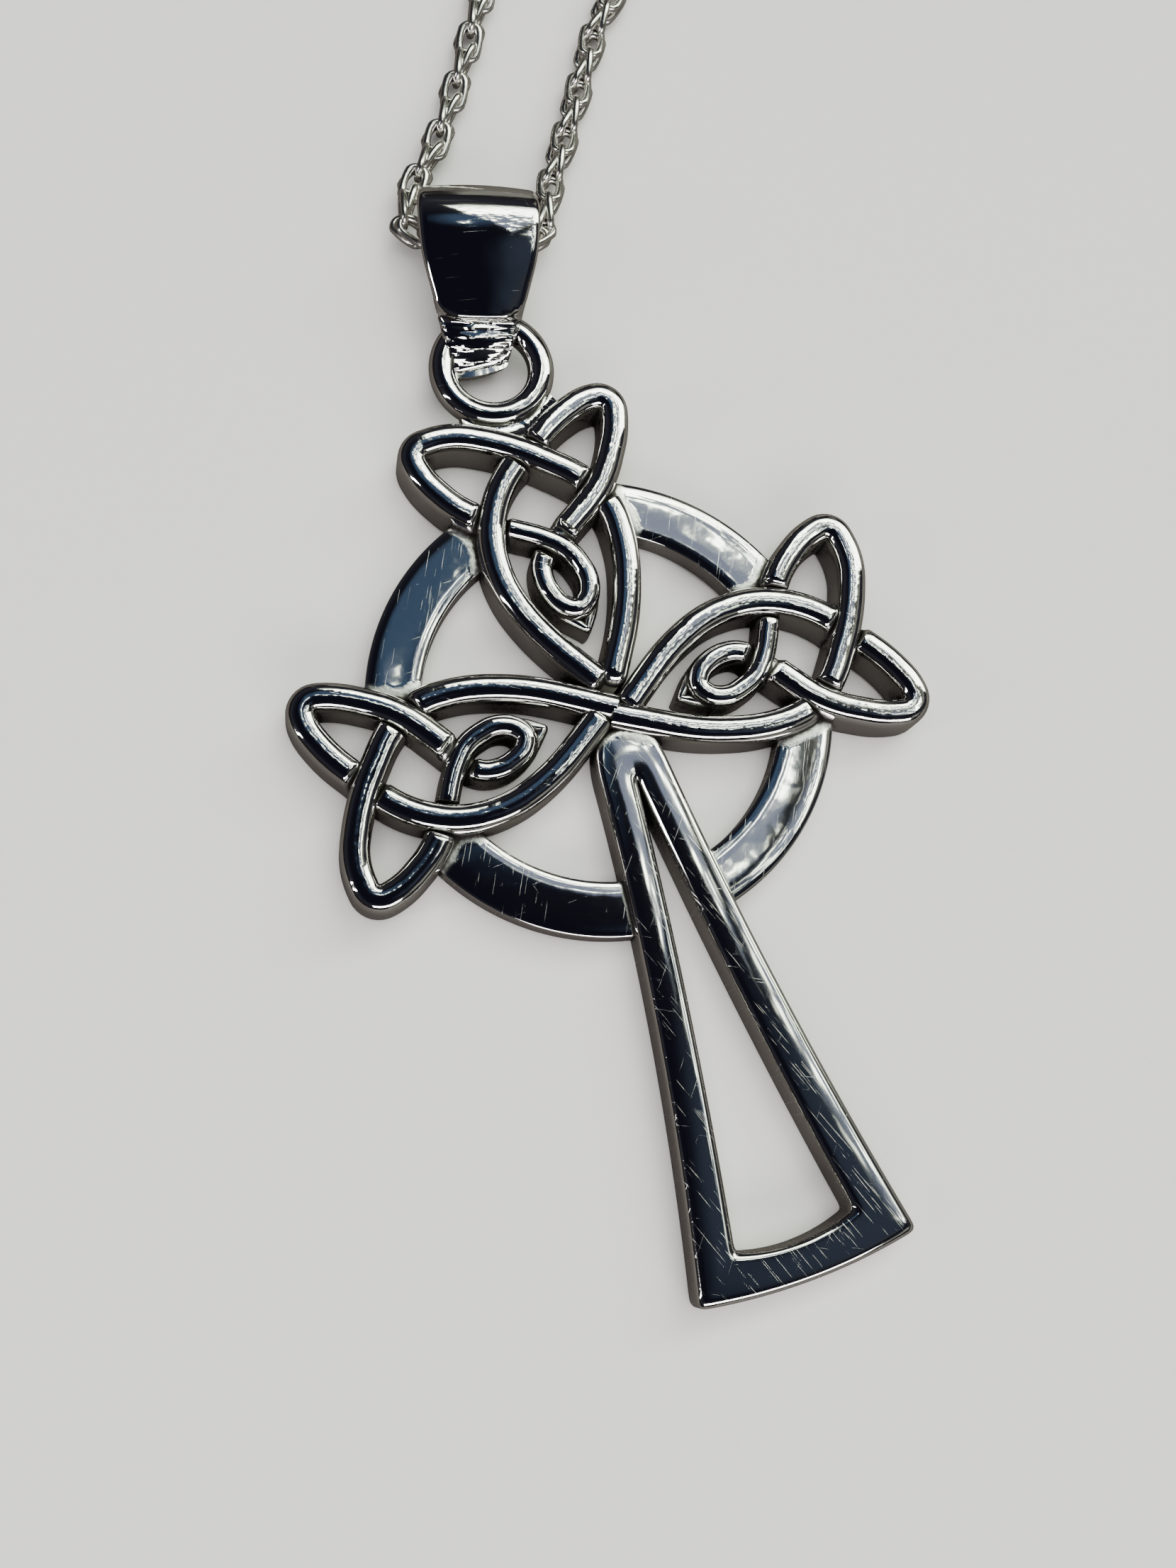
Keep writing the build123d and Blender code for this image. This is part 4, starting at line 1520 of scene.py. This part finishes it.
class PENDANT_OT_stage(bpy.types.Operator):
    """Set the pale floor, the soft studio light and the camera"""

    bl_idname = "pendant.stage"
    bl_label = "Studio"

    def execute(self, context):
        look = context.scene.pendant_studio
        bm = bmesh.new()
        bmesh.ops.create_grid(bm, x_segments=1, y_segments=1, size=2.0)
        bmesh.ops.translate(bm, verts=bm.verts, vec=-UP * 0.02 * MM)
        floor = add_object("floor", mesh_of(bm, "floor"))
        pale = bpy.data.materials.new("pale_floor")
        pale.use_nodes = True
        tree = pale.node_tree
        shader = tree.nodes["Principled BSDF"]
        shader.inputs["Roughness"].default_value = 0.7
        # The floor turns dark in glossy rays only: a painted dark reflection in the metal.
        mirrored = add_node(tree, "ShaderNodeLightPath").outputs["Is Glossy Ray"]
        tone = blend(tree, mirrored, look.floor, look.floor_in_metal)
        tree.links.new(tone, shader.inputs["Base Color"])
        floor.data.materials.append(pale)

        softbox("overhead", 90, 4, 0.9, 0.9, look.overhead, (1.0, 0.99, 0.97), seen=False)
        softbox("left_strip", 178, 58, 0.05, 0.5, look.left_strip, (1.0, 0.97, 0.94))
        softbox("front_strip", -95, 54, 0.8, 0.3, look.front_strip, (1.0, 0.97, 0.95))
        context.scene.world = sky_world(look)

        data = bpy.data.cameras.new("photo_camera")
        data.sensor_width = 36
        data.lens = look.lens
        data.clip_start = 0.005
        camera = add_object("photo_camera", data)
        axes = Matrix((CAMERA_RIGHT, CAMERA_UP, CAMERA_RIGHT.cross(CAMERA_UP)))
        axes = axes.transposed().to_4x4()
        camera.matrix_world = Matrix.Translation(look.camera_place) @ axes
        context.scene.camera = camera
        return {"FINISHED"}


class PENDANT_PT_panel(bpy.types.Panel):
    """Sizes, finish and steps of the pendant"""

    bl_idname = "PENDANT_PT_panel"
    bl_label = "Celtic cross pendant"
    bl_space_type = "VIEW_3D"
    bl_region_type = "UI"
    bl_category = "Pendant"

    def draw(self, context):
        layout = self.layout
        for operator in STEPS:
            layout.operator(operator.bl_idname)
        for name, group in SETTINGS.items():
            box = layout.box()
            settings = getattr(context.scene, name)
            for key in group.__annotations__:
                box.prop(settings, key)


SETTINGS = {
    "pendant_cross": CrossSizes,
    "pendant_bail": BailSizes,
    "pendant_chain": ChainSizes,
    "pendant_finish": SilverFinish,
    "pendant_studio": StudioLook,
}
STEPS = (
    PENDANT_OT_stage,
    PENDANT_OT_knots,
    PENDANT_OT_ring,
    PENDANT_OT_shaft,
    PENDANT_OT_jump_ring,
    PENDANT_OT_patina_and_shade_cross,
    PENDANT_OT_bail,
    PENDANT_OT_chain,
    PENDANT_OT_clasp,
)


def register():
    for cls in (*SETTINGS.values(), *STEPS, PENDANT_PT_panel):
        bpy.utils.register_class(cls)
    for name, group in SETTINGS.items():
        setattr(bpy.types.Scene, name, PointerProperty(type=group))


def unregister():
    for name in SETTINGS:
        delattr(bpy.types.Scene, name)
    for cls in (PENDANT_PT_panel, *reversed(STEPS), *SETTINGS.values()):
        bpy.utils.unregister_class(cls)


def main():
    register()
    bpy.ops.pendant.stage()
    bpy.ops.pendant.knots()
    bpy.ops.pendant.ring()
    bpy.ops.pendant.shaft()
    bpy.ops.pendant.jump_ring()
    bpy.ops.pendant.age_cross()
    bpy.ops.pendant.bail()
    bpy.ops.pendant.chain()
    bpy.ops.pendant.clasp()


if __name__ == "__main__":
    main()
